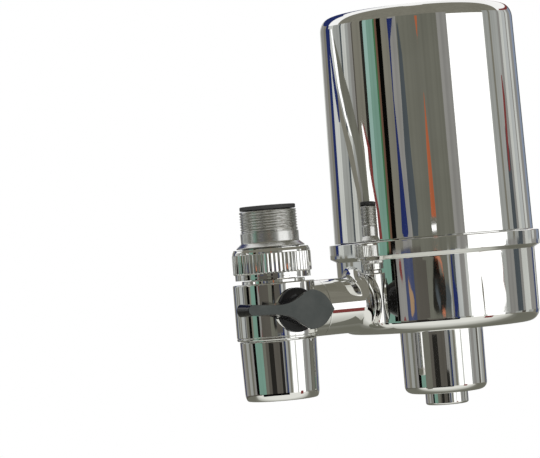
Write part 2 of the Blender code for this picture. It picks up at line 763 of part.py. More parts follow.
def smooth_between(points, along):
    """Height of a smooth curve through points (along, height), by cubic steps."""
    last = len(points) - 2
    index = max(0, min(last, sum(1 for point in points[1:] if point[0] < along)))

    def slope(place):
        low, high = max(place - 1, 0), min(place + 1, len(points) - 1)
        return (points[high][1] - points[low][1]) / (points[high][0] - points[low][0])

    (start, low), (end, high) = points[index], points[index + 1]
    width = end - start
    t = (along - start) / width
    first = slope(index) * width
    second = slope(index + 1) * width
    return (
        low * (1 + 2 * t) * (1 - t) ** 2
        + first * t * (1 - t) ** 2
        + high * t * t * (3 - 2 * t)
        + second * t * t * (t - 1)
    )


def lever_half():
    """Upper half of the lever's outline from the handle's round end to the pointed tip, with drafts."""
    half = []
    start = LEVER_OUTLINE[0][0]
    for step in range(HANDLE_END_STEPS):
        turn = math.pi - math.pi / 2 * step / HANDLE_END_STEPS
        across = start + (start - LEVER_HANDLE_END) * math.cos(turn)
        half.append((across, LEVER_HANDLE_ROUND * math.sin(turn)))
    for step in range(BLADE_STEPS + 1):
        across = start + (LEVER_OUTLINE[-1][0] - start) * step / BLADE_STEPS
        half.append((across, smooth_between(LEVER_OUTLINE, across)))
    half.append((LEVER_POINTER_END, 0.0))
    return half


def end_pull(across, pull):
    """How far a point of the handle's round end is drawn in where the end's back edge is rounded."""
    end = LEVER_OUTLINE[0][0]
    return pull * max(0.0, (end - across) / (end - LEVER_HANDLE_END))


def lever_section(depth_share, pull):
    """The closed outline at one depth: 0 is the rear, 1 the front face."""
    section = []
    upper = lever_half()
    lower = [(across, -height) for across, height in reversed(upper[1:-1])]
    for across, height in upper + lower:
        leaf = min(1.0, max(0.0, (across - LEAF_START) / -LEAF_START))
        draft = HANDLE_DRAFT + (LEAF_DRAFT - HANDLE_DRAFT) * leaf
        scale = draft + (1 - draft) * depth_share
        shift = across * scale if across > 0 else across + end_pull(across, pull)
        section.append((shift, height * scale))
    return section


def lever_blade():
    """Loft from the lever's rear outline to its front face.

    Its levels are (place, inset at the front bevel, pull at the handle's rounded back)."""
    halfway = LEVER_BACK_ROUND * (1 - math.sqrt(0.5))
    levels = [
        (LEVER_REAR, 0.0, LEVER_BACK_ROUND),
        (LEVER_REAR - halfway, 0.0, halfway),
        (LEVER_REAR - LEVER_BACK_ROUND, 0.0, 0.0),
        (LEVER_FRONT + LEVER_EDGE, 0.0, 0.0),
        (LEVER_FRONT, LEVER_EDGE, 0.0),
    ]
    shape = bmesh.new()
    rings = []
    for along, inset, pull in levels:
        row = []
        for across, height in lever_section((LEVER_REAR - along) / LEVER_DEPTH, pull):
            keep = 1.0 - inset / max(abs(height), 4 * inset, 1e-6)
            row.append(shape.verts.new((across, along, VALVE_Z + height * keep)))
        rings.append(row)
    for lower, upper in zip(rings, rings[1:]):
        for index in range(len(lower)):
            after = (index + 1) % len(lower)
            shape.faces.new((lower[index], lower[after], upper[after], upper[index]))
    shape.faces.new(rings[-1])
    shape.faces.new(reversed(rings[0]))
    bmesh.ops.recalc_face_normals(shape, faces=shape.faces)
    return from_bmesh("diverter_lever", shape)


def lever_skirt():
    """Round foot of the lever: a disc against the body that curves in to the blade."""
    skirt_front = -LEVER_REAR + LEVER_SKIRT_HEIGHT
    waist_front = -LEVER_REAR + LEVER_WAIST_FRONT
    waist_bend = -LEVER_REAR + LEVER_WAIST_BEND
    corners = [(0, waist_front, 0), (LEVER_WAIST_RADIUS, waist_front, 0)]
    for step in range(SKIRT_STEPS + 1):
        turn = math.pi / 2 * step / SKIRT_STEPS
        across = LEVER_SKIRT_RADIUS - (LEVER_SKIRT_RADIUS - LEVER_WAIST_RADIUS) * math.cos(turn)
        up = skirt_front + (waist_bend - skirt_front) * (1 - math.sin(turn))
        corners.append((across, up, 0))
    corners += [(LEVER_SKIRT_RADIUS, -LEVER_REAR, 0), (0, -LEVER_REAR, 0)]
    return laid_along_y(turned("lever_skirt", corners, SMALL_STEPS, CUTTERS, closed=False))


def diverter_lever():
    side = SPINDLE_SQUARE + 2 * GAP
    depth = SPINDLE_DRIVE_LENGTH + GAP + PAST
    middle = (0, LEVER_REAR + PAST - depth / 2, VALVE_Z)
    socket = block("lever_socket", (side, depth, side), middle, CUTTERS)
    return settle(cut(join(lever_blade(), lever_skirt()), socket), "black_plastic", math.radians(40))


def valve_group():
    """Spindle, its O-rings and the lever on one empty, which turns them to the rest position."""
    pieces = [valve_spindle(), *spindle_o_rings(), diverter_lever()]
    axis = bpy.data.objects.new("valve_axis", None)
    PARTS.objects.link(axis)
    axis.location = (0, 0, VALVE_Z)
    bpy.context.view_layer.update()
    for piece in pieces:
        piece.parent = axis
        piece.matrix_parent_inverse = axis.matrix_world.inverted()
    axis.rotation_euler = (0, LEVER_REST_TURN, 0)
    return axis


def aerator_sleeve():
    bottom_radius = SLEEVE_RADIUS - SLEEVE_TAPER
    corners = [
        (SLEEVE_RADIUS, SLEEVE_TOP, BODY_EDGE, 1),
        (bottom_radius, SLEEVE_BOTTOM, (SLEEVE_ROLL_HEIGHT, SLEEVE_ROLL_WIDTH)),
        (SLEEVE_MOUTH, SLEEVE_BOTTOM, EDGE_CHAMFER, 1),
        (SLEEVE_MOUTH, SLEEVE_BOTTOM + SLEEVE_LIP, 0),
        (SLEEVE_BORE, SLEEVE_BOTTOM + SLEEVE_LIP, 0),
        (SLEEVE_BORE, AERATOR_WASHER_TOP, 0),
        (SLEEVE_THREAD_BORE, AERATOR_WASHER_TOP, 0),
        (SLEEVE_THREAD_BORE, SLEEVE_TOP, 0),
    ]
    return settle(turned("aerator_sleeve", corners, VALVE_STEPS), "chrome")


def aerator_washer():
    bottom = AERATOR_WASHER_TOP - WASHER_THICKNESS
    made = ring("aerator_washer", INSERT_RADIUS, INSERT_BORE, bottom, AERATOR_WASHER_TOP)
    return settle(made, "rubber")


def aerator_insert():
    """Flanged cup with a perforated plate that breaks up the stream."""
    wall = INSERT_RADIUS - INSERT_FLANGE_PROUD
    plate_top = INSERT_TOP - INSERT_PLATE_DEPTH
    corners = [
        (INSERT_RADIUS, INSERT_TOP, 0),
        (INSERT_RADIUS, INSERT_TOP - INSERT_FLANGE, 0),
        (wall, INSERT_TOP - INSERT_FLANGE, 0),
        (wall, INSERT_BOTTOM, 0),
        (INSERT_BORE - INSERT_RIM, INSERT_BOTTOM, 0),
        (INSERT_BORE - INSERT_RIM, INSERT_BOTTOM + INSERT_RIM, 0),
        (INSERT_BORE, INSERT_BOTTOM + INSERT_RIM, 0),
        (INSERT_BORE, plate_top - INSERT_PLATE, 0),
        (0, plate_top - INSERT_PLATE, 0),
        (0, plate_top, 0),
        (INSERT_BORE, plate_top, 0),
        (INSERT_BORE, INSERT_TOP, 0),
    ]
    start = corners.index((0, plate_top, 0))
    corners = corners[start:] + corners[:start]
    made = turned("aerator_insert", corners, SMALL_STEPS, closed=False)
    holes = []
    for index in range(INSERT_HOLES):
        turn = math.tau * index / INSERT_HOLES + INSERT_HOLE_TURN
        x, y = INSERT_HOLE_RING * math.cos(turn), INSERT_HOLE_RING * math.sin(turn)
        low, high = plate_top - INSERT_PLATE - PAST, plate_top + PAST
        holes.append(rod(f"stream_hole_{index}", INSERT_HOLE_RADIUS, (x, y, low), (x, y, high),
                         INSERT_HOLE_SIDES, CUTTERS))
    return settle(cut(made, *holes), "white_plastic")


def aerator_screen():
    """Round screen on the insert's rim, with square openings where a whole one fits."""
    radius = INSERT_BORE - GAP
    bottom = INSERT_BOTTOM + INSERT_RIM + GAP
    made = disc("aerator_screen", radius, bottom, bottom + SCREEN_THICKNESS)
    shape = bmesh.new()
    reach = int(radius / SCREEN_PITCH)
    for row in range(-reach, reach + 1):
        for column in range(-reach, reach + 1):
            x, y = row * SCREEN_PITCH, column * SCREEN_PITCH
            if math.hypot(abs(x) + SCREEN_HOLE / 2, abs(y) + SCREEN_HOLE / 2) > radius - SCREEN_THICKNESS:
                continue
            place = Matrix.Translation((x, y, bottom + SCREEN_THICKNESS / 2))
            size = Matrix.Diagonal((SCREEN_HOLE, SCREEN_HOLE, SCREEN_THICKNESS + 2 * PAST, 1.0))
            bmesh.ops.create_cube(shape, size=1.0, matrix=place @ size)
    holes = from_bmesh("screen_openings", shape, CUTTERS)
    return settle(cut(made, holes), "mesh_steel")


def laid_along_x(piece, x):
    """Turns a piece made about Z so that its top looks back to the valve, on the arm's axis."""
    piece.rotation_euler = (0, math.radians(-90.0), 0)
    piece.location = (x, 0, ARM_Z)
    return piece


def arm_nipple():
    groove = ring_in_groove(NIPPLE_SOCKET, SMALL_RING)[1]
    half = NIPPLE_LENGTH / 2
    middle = (NIPPLE_START + NIPPLE_END) / 2
    corners = [(NIPPLE_RADIUS, half, EDGE_CHAMFER)]
    corners += grooved_wall(NIPPLE_RADIUS, groove, middle - ARM_RING_X, SMALL_RING)
    corners += [
        (NIPPLE_RADIUS, -half, EDGE_CHAMFER),
        (WATERWAY_RADIUS, -half, 0),
        (WATERWAY_RADIUS, half, 0),
    ]
    made = turned("arm_nipple", corners, SMALL_STEPS, corner_steps=1)
    return settle(laid_along_x(made, middle), "inner_metal")


def arm_o_ring():
    ring_radius = ring_in_groove(NIPPLE_SOCKET, SMALL_RING)[0]
    turn = (0, math.radians(90.0), 0)
    return settle(o_ring("arm_o_ring", ring_radius, SMALL_RING, (ARM_RING_X, 0, ARM_Z), turn), "rubber")


def ball_place(side, up):
    """Distance from the canister's axis of a ball that rolls on the base's wall or rounded foot."""
    foot_z = BASE_BOTTOM + BASE_ROUNDING
    if up >= foot_z:
        return math.sqrt((BASE_RADIUS + ARM_FILLET) ** 2 - side * side), up, BASE_RADIUS
    reach = math.sqrt((BASE_ROUNDING + ARM_FILLET) ** 2 - (up - foot_z) ** 2)
    foot_radius = BASE_RADIUS - BASE_ROUNDING
    return math.sqrt((foot_radius + reach) ** 2 - side * side), foot_z, foot_radius


def fillet_section(turn, steps):
    """Points from the arm to the base at one angle round the arm, on a ball that touches both.

    The last point lies a little inside the base, so that the two solids cross."""
    out = Vector((0, math.cos(turn), math.sin(turn)))
    side = (ARM_RADIUS + ARM_FILLET) * out.y
    up = ARM_Z + (ARM_RADIUS + ARM_FILLET) * out.z
    back, foot_z, foot_radius = ball_place(side, up)
    centre = Vector((CANISTER_X - back, side, up))
    plan = Vector((back, -side, 0)).normalized()
    if foot_radius < BASE_RADIUS:
        target = Vector((CANISTER_X, 0, foot_z)) - plan * foot_radius
        towards = (target - centre).normalized()
    else:
        towards = plan
    start = -out
    angle = start.angle(towards)
    points = []
    for step in range(steps + 1):
        share = step / steps
        mixed = start * math.sin((1 - share) * angle) + towards * math.sin(share * angle)
        points.append(centre + mixed / math.sin(angle) * ARM_FILLET)
    points.append(points[-1] + towards * BASE_WALL / 3)
    return points


def arm_shape():
    """The arm as a round bar that flares into the base in a rolling fillet."""
    shape = bmesh.new()
    rows = []
    for index in range(ARM_SIDES):
        turn = math.tau * index / ARM_SIDES
        round_point = Vector((ARM_START, ARM_RADIUS * math.cos(turn), ARM_Z + ARM_RADIUS * math.sin(turn)))
        rows.append([shape.verts.new(point) for point in [round_point, *fillet_section(turn, FILLET_STEPS)]])
    for index, row in enumerate(rows):
        after = rows[(index + 1) % ARM_SIDES]
        for place in range(len(row) - 1):
            shape.faces.new((row[place], row[place + 1], after[place + 1], after[place]))
    shape.faces.new([row[0] for row in rows])
    inner = shape.verts.new((CANISTER_X - BASE_INSIDE - BASE_WALL / 3, 0, ARM_Z))
    for index, row in enumerate(rows):
        shape.faces.new((row[-1], inner, rows[(index + 1) % ARM_SIDES][-1]))
    bmesh.ops.recalc_face_normals(shape, faces=shape.faces)
    return from_bmesh("arm_shape", shape, CUTTERS)


def on_canister(piece):
    piece.location.x = CANISTER_X
    return piece


def base_outside():
    """Full outer form of the base: band, wall, rounded foot and threaded spigot."""
    band = BASE_RADIUS + BAND_PROUD
    band_bottom = BAND_TOP - BAND_HEIGHT
    corners = [
        (0, BAND_TOP, 0),
        (band, BAND_TOP, BODY_EDGE, 1),
        (band, band_bottom, 0),
        (BASE_RADIUS, band_bottom - BAND_SLOPE, 0),
        (BASE_RADIUS, BASE_BOTTOM, BASE_ROUNDING),
        (OUTLET_SPIGOT_RADIUS, BASE_BOTTOM, 0),
        (OUTLET_SPIGOT_RADIUS, OUTLET_SPIGOT_BOTTOM, 0),
        (0, OUTLET_SPIGOT_BOTTOM, 0),
    ]
    made = turned("filter_base", corners, CANISTER_STEPS, closed=False, corner_steps=ROLL_STEPS)
    return on_canister(made)


def base_cavity():
    """Collar bore, bowl and the ring round the cartridge socket, as one cutter."""
    collar_bottom = SKIRT_BOTTOM - GAP
    socket_outside = CARTRIDGE_SOCKET + SOCKET_WALL
    corners = [
        (0, BAND_TOP + PAST, 0),
        (COLLAR_BORE, BAND_TOP + PAST, 0),
        (COLLAR_BORE, collar_bottom, 0),
        (BASE_INSIDE, collar_bottom, 0),
        (BASE_INSIDE, BASE_FLOOR_TOP, BASE_ROUNDING - BASE_WALL / 2, 2),
        (socket_outside, BASE_FLOOR_TOP, 0),
        (socket_outside, SOCKET_TOP, 0),
        (0, SOCKET_TOP, 0),
    ]
    return on_canister(turned("base_cavity", corners, CANISTER_STEPS, CUTTERS, closed=False))


def base_bores():
    socket_bottom = SPIGOT_END - GAP
    socket = disc("cartridge_socket", CARTRIDGE_SOCKET, socket_bottom, SOCKET_TOP + PAST, collection=CUTTERS)
    outlet = disc("outlet_bore", OUTLET_BORE, OUTLET_SPIGOT_BOTTOM - PAST, socket_bottom + PAST,
                  collection=CUTTERS)
    inside = (CANISTER_X - BASE_INSIDE + BASE_WALL, 0, ARM_Z)
    passage = rod("arm_passage", WATERWAY_RADIUS, (ARM_START - PAST, 0, ARM_Z), inside, BORE_STEPS, CUTTERS)
    nipple = rod("arm_socket", NIPPLE_SOCKET, (ARM_START - PAST, 0, ARM_Z), (NIPPLE_END + GAP, 0, ARM_Z),
                 SMALL_STEPS, CUTTERS)
    return on_canister(socket), on_canister(outlet), passage, nipple


def filter_base():
    made = join(base_outside(), arm_shape())
    return settle(cut(made, base_cavity(), *base_bores()), "chrome")


def cover_shell():
    """Tall cap with a rounded top, and a skirt with an O-ring groove that screws into the base."""
    groove = ring_in_groove(COLLAR_BORE, COVER_RING)[1]
    inside_foot = COVER_FOOT_RADIUS - COVER_WALL
    inside_top = COVER_TOP_RADIUS - COVER_WALL
    inside_rise = COVER_FOOT + COVER_WALL
    corners = [
        (0, COVER_TOP, 0),
        (COVER_TOP_RADIUS, COVER_TOP, (COVER_ROLL_WIDTH, COVER_ROLL_HEIGHT)),
        (COVER_FOOT_RADIUS, COVER_FOOT, 0),
        (SKIRT_RADIUS, COVER_FOOT, 0),
        *grooved_wall(SKIRT_RADIUS, groove, COVER_RING_Z, COVER_RING),
        (SKIRT_RADIUS, SKIRT_BOTTOM, 0),
        (SKIRT_BORE, SKIRT_BOTTOM, 0),
        (SKIRT_BORE, inside_rise, 0),
        (inside_foot, inside_rise + inside_foot - SKIRT_BORE, 0),
        (inside_top, COVER_INSIDE_TOP, COVER_ROLL_WIDTH - COVER_WALL / 2, 1),
        (0, COVER_INSIDE_TOP, 0),
    ]
    made = turned("cover_shell", corners, CANISTER_STEPS, closed=False, corner_steps=ROLL_STEPS)
    return settle(on_canister(made), "chrome")


def cover_o_ring():
    ring_radius = ring_in_groove(COLLAR_BORE, COVER_RING)[0]
    place = (CANISTER_X, 0, COVER_RING_Z)
    made = o_ring("cover_o_ring", ring_radius, COVER_RING, place, steps=CANISTER_STEPS)
    return settle(made, "rubber")


def carbon_block():
    made = ring("carbon_block", BLOCK_RADIUS, BLOCK_BORE, BLOCK_BOTTOM, BLOCK_TOP)
    return settle(on_canister(made), "carbon")


def prefilter_sleeve():
    inner = BLOCK_RADIUS + GAP
    made = ring("prefilter_sleeve", FLEECE_RADIUS, inner, BLOCK_BOTTOM, BLOCK_TOP)
    return settle(on_canister(made), "fleece")


def cartridge_core():
    """Tube inside the block, slotted on four sides in rows."""
    made = ring("cartridge_core", CORE_RADIUS, CORE_RADIUS - CORE_WALL, BLOCK_BOTTOM, BLOCK_TOP, BORE_STEPS)
    cutters = []
    pitch = (BLOCK_TOP - BLOCK_BOTTOM) / CORE_SLOT_ROWS
    for row in range(CORE_SLOT_ROWS):
        middle = BLOCK_BOTTOM + pitch * (row + 0.5)
        for turned_slot in (False, True):
            size = [3 * CORE_RADIUS, CORE_SLOT_WIDTH, CORE_SLOT_HEIGHT]
            if turned_slot:
                size[0], size[1] = size[1], size[0]
            cutters.append(block(f"core_slot_{row}_{int(turned_slot)}", size, (0, 0, middle), CUTTERS))
    return settle(on_canister_with(cut(made, *cutters), cutters), "white_plastic")


def on_canister_with(piece, cutters):
    for cutter in cutters:
        on_canister(cutter)
    return on_canister(piece)


def cartridge_top_cap():
    rim_inner = CAP_RADIUS - CAP_RIM
    top = TOP_CAP_BOTTOM + CAP_THICKNESS
    pad_top = COVER_INSIDE_TOP - GAP
    corners = [
        (0, pad_top, 0),
        (CAP_PAD_RADIUS, pad_top, 0),
        (CAP_PAD_RADIUS, top, 0),
        (CAP_RADIUS, top, EDGE_CHAMFER),
        (CAP_RADIUS, TOP_CAP_BOTTOM - CAP_RIM_HEIGHT, 0),
        (rim_inner, TOP_CAP_BOTTOM - CAP_RIM_HEIGHT, 0),
        (rim_inner, TOP_CAP_BOTTOM, 0),
        (0, TOP_CAP_BOTTOM, 0),
    ]
    made = turned("cartridge_top_cap", corners, SMALL_STEPS, closed=False, corner_steps=1)
    return settle(on_canister(made), "white_plastic")


def cartridge_bottom_cap():
    rim_inner = CAP_RADIUS - CAP_RIM
    cap_top = CARTRIDGE_BOTTOM + CAP_THICKNESS
    groove = ring_in_groove(CARTRIDGE_SOCKET, SMALL_RING)[1]
    spigot = CARTRIDGE_SPIGOT_RADIUS
    corners = [
        (CAP_RADIUS, cap_top + CAP_RIM_HEIGHT, 0),
        (CAP_RADIUS, CARTRIDGE_BOTTOM, EDGE_CHAMFER),
        (spigot, CARTRIDGE_BOTTOM, 0),
        *grooved_wall(spigot, groove, CARTRIDGE_RING_Z, SMALL_RING),
        (spigot, SPIGOT_END, 0),
        (CARTRIDGE_SPIGOT_BORE, SPIGOT_END, 0),
        (CARTRIDGE_SPIGOT_BORE, cap_top, 0),
        (rim_inner, cap_top, 0),
        (rim_inner, cap_top + CAP_RIM_HEIGHT, 0),
    ]
    made = turned("cartridge_bottom_cap", corners, SMALL_STEPS, corner_steps=1)
    return settle(on_canister(made), "white_plastic")


def cartridge_o_ring():
    ring_radius = ring_in_groove(CARTRIDGE_SOCKET, SMALL_RING)[0]
    made = o_ring("cartridge_o_ring", ring_radius, SMALL_RING, (CANISTER_X, 0, CARTRIDGE_RING_Z))
    return settle(made, "rubber")


def outlet_housing():
    corners = [
        (HOUSING_RADIUS, HOUSING_TOP, BODY_EDGE, 1),
        (HOUSING_RADIUS - HOUSING_TAPER, HOUSING_BOTTOM, HOUSING_ROUNDING),
        (SPOUT_RADIUS + GAP, HOUSING_BOTTOM, 0),
        (SPOUT_RADIUS + GAP, HOUSING_BOTTOM + HOUSING_FLOOR, 0),
        (HOUSING_CAVITY, HOUSING_BOTTOM + HOUSING_FLOOR, 0),
        (HOUSING_CAVITY, HOUSING_STEP_Z, 0),
        (HOUSING_BORE, HOUSING_STEP_Z, 0),
        (HOUSING_BORE, HOUSING_TOP, 0),
    ]
    return settle(on_canister(turned("outlet_housing", corners, VALVE_STEPS)), "chrome")


def outlet_gasket():
    outer = HOUSING_BORE - GAP
    bottom = OUTLET_GASKET_TOP - WASHER_THICKNESS
    made = ring("outlet_gasket", outer, OUTLET_GASKET_BORE, bottom, OUTLET_GASKET_TOP)
    return settle(on_canister(made), "rubber")


def flow_restrictor():
    bottom = RESTRICTOR_TOP - RESTRICTOR_THICKNESS
    made = ring("flow_restrictor", HOUSING_BORE - GAP, RESTRICTOR_HOLE, bottom, RESTRICTOR_TOP)
    return settle(on_canister(made), "white_plastic")


def outlet_spout():
    flange = SPOUT_RADIUS + SPOUT_FLANGE_PROUD
    flange_bottom = SPOUT_TOP - SPOUT_FLANGE
    corners = [
        (flange, SPOUT_TOP, 0),
        (flange, flange_bottom, 0),
        (SPOUT_RADIUS, flange_bottom, 0),
        (SPOUT_RADIUS, SPOUT_BOTTOM, SPOUT_ROUNDING),
        (SPOUT_BORE, SPOUT_BOTTOM, EDGE_CHAMFER, 1),
        (SPOUT_BORE, SPOUT_TOP, 0),
    ]
    return settle(on_canister(turned("outlet_spout", corners, SMALL_STEPS)), "chrome")


def build():
    faucet_adapter()
    adapter_washer()
    nut_gasket()
    swivel_nut()
    swivel_stem()
    stem_o_ring()
    diverter_body()
    spindle_clip()
    valve_group()
    aerator_sleeve()
    aerator_washer()
    aerator_insert()
    aerator_screen()
    arm_nipple()
    arm_o_ring()
    filter_base()
    cover_shell()
    cover_o_ring()
    carbon_block()
    prefilter_sleeve()
    cartridge_core()
    cartridge_top_cap()
    cartridge_bottom_cap()
    cartridge_o_ring()
    outlet_housing()
    outlet_gasket()
    flow_restrictor()
    outlet_spout()


build()
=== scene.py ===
import json
import math

import bpy
import numpy as np
from mathutils import Matrix, Vector


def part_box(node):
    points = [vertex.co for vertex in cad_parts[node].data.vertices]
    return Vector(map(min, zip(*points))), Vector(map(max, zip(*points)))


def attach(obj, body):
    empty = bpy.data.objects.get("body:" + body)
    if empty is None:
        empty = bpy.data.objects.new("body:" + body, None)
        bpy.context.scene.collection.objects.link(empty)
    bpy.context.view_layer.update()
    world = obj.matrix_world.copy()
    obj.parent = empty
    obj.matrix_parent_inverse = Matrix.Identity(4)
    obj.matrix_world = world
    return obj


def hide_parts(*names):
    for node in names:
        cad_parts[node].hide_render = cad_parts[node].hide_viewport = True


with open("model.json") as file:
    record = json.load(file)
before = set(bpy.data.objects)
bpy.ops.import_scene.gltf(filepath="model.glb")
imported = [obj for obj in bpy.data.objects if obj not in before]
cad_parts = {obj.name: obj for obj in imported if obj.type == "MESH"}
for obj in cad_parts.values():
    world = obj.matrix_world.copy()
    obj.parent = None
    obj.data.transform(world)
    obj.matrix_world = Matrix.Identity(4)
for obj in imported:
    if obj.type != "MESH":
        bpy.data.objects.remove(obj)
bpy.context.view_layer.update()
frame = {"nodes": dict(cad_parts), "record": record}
mm = 0.001
fullTurn = 2 * math.pi


def seen(red, green, blue):
    # a colour as a screen shows it, 0 to 255, turned to the linear value that a shader takes
    shares = np.array([red, green, blue]) / 255.0
    linear = np.where(shares <= 0.04045, shares / 12.92, ((shares + 0.055) / 1.055) ** 2.4)
    return (*linear.tolist(), 1.0)


def nodeSpan(node):
    # the sides of a node's box, in millimetres
    low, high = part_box(node)
    sides = {"left": low.x, "right": high.x, "front": low.y, "bottom": low.z, "top": high.z}
    return {side: place / mm for side, place in sides.items()}


def middleZ(span):
    return (span["bottom"] + span["top"]) / 2


# Places that the frame gives
adapterSpan = nodeSpan("faucet_adapter")
nutSpan = nodeSpan("swivel_nut")
bodySpan = nodeSpan("diverter_body")
sleeveSpan = nodeSpan("aerator_sleeve")
baseSpan = nodeSpan("filter_base")
coverSpan = nodeSpan("cover_shell")
housingSpan = nodeSpan("outlet_housing")
spoutSpan = nodeSpan("outlet_spout")
leverSpan = nodeSpan("diverter_lever")
valveZ = middleZ(nodeSpan("spindle_o_ring_rear"))
canisterX = (coverSpan["left"] + coverSpan["right"]) / 2
armZ = middleZ(nodeSpan("arm_o_ring"))
gap = 0.3


# Node helpers for the finishes
def feed(tree, node, inputs):
    # an input takes a plain value or the output of another node
    for name, value in inputs.items():
        if isinstance(value, bpy.types.NodeSocket):
            tree.links.new(value, node.inputs[name])
        else:
            node.inputs[name].default_value = value


def addNode(tree, kind, output, inputs=None, operation=None):
    made = tree.nodes.new(kind)
    if operation:
        made.operation = operation
    feed(tree, made, inputs or {})
    return made.outputs[output]


def newFinish(name):
    made = bpy.data.materials.new(name)
    made.use_nodes = True
    return made, made.node_tree


def feedShader(tree, inputs):
    feed(tree, tree.nodes["Principled BSDF"], inputs)


def noiseFac(tree, scale, detail=3.0, stretch=(1, 1, 1)):
    # noise in the piece's own metres, so a scale of 100 gives patches of about 10 mm
    place = addNode(tree, "ShaderNodeTexCoord", "Object")
    place = addNode(tree, "ShaderNodeMapping", "Vector", {"Vector": place, "Scale": stretch})
    return addNode(tree, "ShaderNodeTexNoise", "Fac", {"Vector": place, "Scale": scale, "Detail": detail})


def spread(tree, source, low, high, lowest=0.3, highest=0.7):
    # the middle of a noise drawn out to a range from low to high
    return addNode(tree, "ShaderNodeMapRange", "Result", {
        "Value": source, "From Min": lowest, "From Max": highest, "To Min": low, "To Max": high})


def mixColour(tree, share, first, second):
    mix = tree.nodes.new("ShaderNodeMix")
    mix.data_type = "RGBA"
    feed(tree, mix, {"A": first, "B": second, "Factor": share})
    return mix.outputs["Result"]


def bumpFrom(tree, height, distance):
    return addNode(tree, "ShaderNodeBump", "Normal", {
        "Strength": 1.0, "Distance": distance, "Height": height})


def added(tree, first, second):
    return addNode(tree, "ShaderNodeMath", "Value", {0: first, 1: second}, operation="ADD")


# Chrome: one recipe, with more waviness where the metal under it was cast. The two tints are the clean
# plating and the plating under a thin film.
chromeLooks = {
    "chromeTurned": {"wave": 3e-6, "waveScale": 55, "shine": (0.012, 0.035), "tone": 0.90},
    "chromeDrawn": {"wave": 5e-6, "waveScale": 38, "shine": (0.010, 0.030), "tone": 0.90},
    "chromeCast": {"wave": 34e-6, "waveScale": 60, "shine": (0.014, 0.045), "tone": 0.90},
    "chromeSatin": {"wave": 2e-6, "waveScale": 120, "shine": (0.20, 0.27), "tone": 0.72},
}
chromeTints = {"clean": (1, 1, 0.985), "filmed": (0.91, 0.91, 0.88)}


def makeChrome(name, look):
    made, tree = newFinish(name)
    smudge, speck = noiseFac(tree, 45, 5.0), noiseFac(tree, 2600, 1.0)
    clean, filmed = ((*(share * look["tone"] for share in tint), 1) for tint in chromeTints.values())
    feedShader(tree, {
        "Metallic": 1.0,
        "Base Color": mixColour(tree, spread(tree, smudge, 0.0, 1.0, 0.42, 0.72), clean, filmed),
        "Roughness": added(tree, spread(tree, smudge, *look["shine"]),
                           spread(tree, speck, 0.0, 0.05, 0.66, 0.80)),
        "Normal": bumpFrom(tree, noiseFac(tree, look["waveScale"], 1.5), look["wave"]),
    })
    return made


# Plastics and rubber: colour, worn colour, roughness from and to, scale and depth of the grain, gloss
plastics = {
    "leverFace": ((0.036, 0.041, 0.039, 1), (0.050, 0.054, 0.051, 1), (0.50, 0.66), 9000, 9e-6, 0.22),
    "leverGloss": ((0.004, 0.004, 0.005, 1), (0.006, 0.006, 0.006, 1), (0.08, 0.16), 2500, 1.5e-6, 0.26),
    "rubber": ((0.022, 0.022, 0.023, 1), (0.032, 0.032, 0.031, 1), (0.60, 0.80), 4000, 6e-6, 0.5),
    "whitePlastic": ((0.80, 0.80, 0.77, 1), (0.74, 0.74, 0.70, 1), (0.32, 0.48), 3000, 3e-6, 0.5),
    "carbonPress": ((0.012, 0.012, 0.013, 1), (0.030, 0.030, 0.030, 1), (0.80, 0.95), 2600, 5e-5, 0.5),
}


def makePlastic(name, colour, worn, roughness, grainScale, grainDepth, gloss):
    made, tree = newFinish(name)
    feedShader(tree, {
        "Specular IOR Level": gloss,
        "Base Color": mixColour(tree, spread(tree, noiseFac(tree, 160, 4.0), 0.0, 1.0), colour, worn),
        "Roughness": spread(tree, noiseFac(tree, 700, 3.0), *roughness),
        "Normal": bumpFrom(tree, noiseFac(tree, grainScale, 2.0), grainDepth),
    })
    return made


# Metals of the inner pieces: colour, worn colour, roughness from and to
metals = {
    "innerMetal": ((0.66, 0.64, 0.58, 1), (0.55, 0.53, 0.47, 1), (0.18, 0.34)),
    "steelWire": ((0.62, 0.62, 0.61, 1), (0.50, 0.50, 0.49, 1), (0.22, 0.36)),
}


def makeInnerMetal(name, colour, worn, roughness):
    # as it comes off the lathe: fine rings from a noise squeezed along the axis
    made, tree = newFinish(name)
    rings = noiseFac(tree, 300, 3.0, (1, 1, 22))
    feedShader(tree, {
        "Metallic": 1.0,
        "Base Color": mixColour(tree, spread(tree, rings, 0, 1), colour, worn),
        "Roughness": spread(tree, rings, *roughness),
        "Normal": bumpFrom(tree, rings, 4e-6),
    })
    return made


def makeFleece(name):
    made, tree = newFinish(name)
    fibre = noiseFac(tree, 1500, 6.0, (1, 1, 0.25))
    pale, shaded = (0.88, 0.87, 0.82, 1), (0.70, 0.69, 0.64, 1)
    feedShader(tree, {
        "Base Color": mixColour(tree, spread(tree, fibre, 0, 1), pale, shaded),
        "Roughness": 0.95,
        "Sheen Weight": 0.25,
        "Normal": bumpFrom(tree, fibre, 0.00012),
    })
    return made


finishes = {name: makeChrome(name, look) for name, look in chromeLooks.items()}
finishes |= {name: makePlastic(name, *look) for name, look in plastics.items()}
finishes |= {name: makeInnerMetal(name, *look) for name, look in metals.items()}
finishes["fleece"] = makeFleece("fleece")
slotFinish = {
    "chrome": "chromeTurned",
    "inner_metal": "innerMetal",
    "black_plastic": "leverGloss",
    "white_plastic": "whitePlastic",
    "rubber": "rubber",
    "carbon": "carbonPress",
    "fleece": "fleece",
    "mesh_steel": "steelWire",
}
for subpart in frame["record"]["subparts"]:
    nodeMesh = frame["nodes"][subpart["node"]].data
    nodeMesh.materials.clear()
    nodeMesh.materials.append(finishes[slotFinish[subpart["material_slot"]]])
print("finishes made:", len(finishes))


# Surfaces on grids. All lengths are in millimetres until makePiece turns them into metres.
def quarter(count):
    # angles from 0 to a right angle
    return np.linspace(0, math.pi / 2, count)


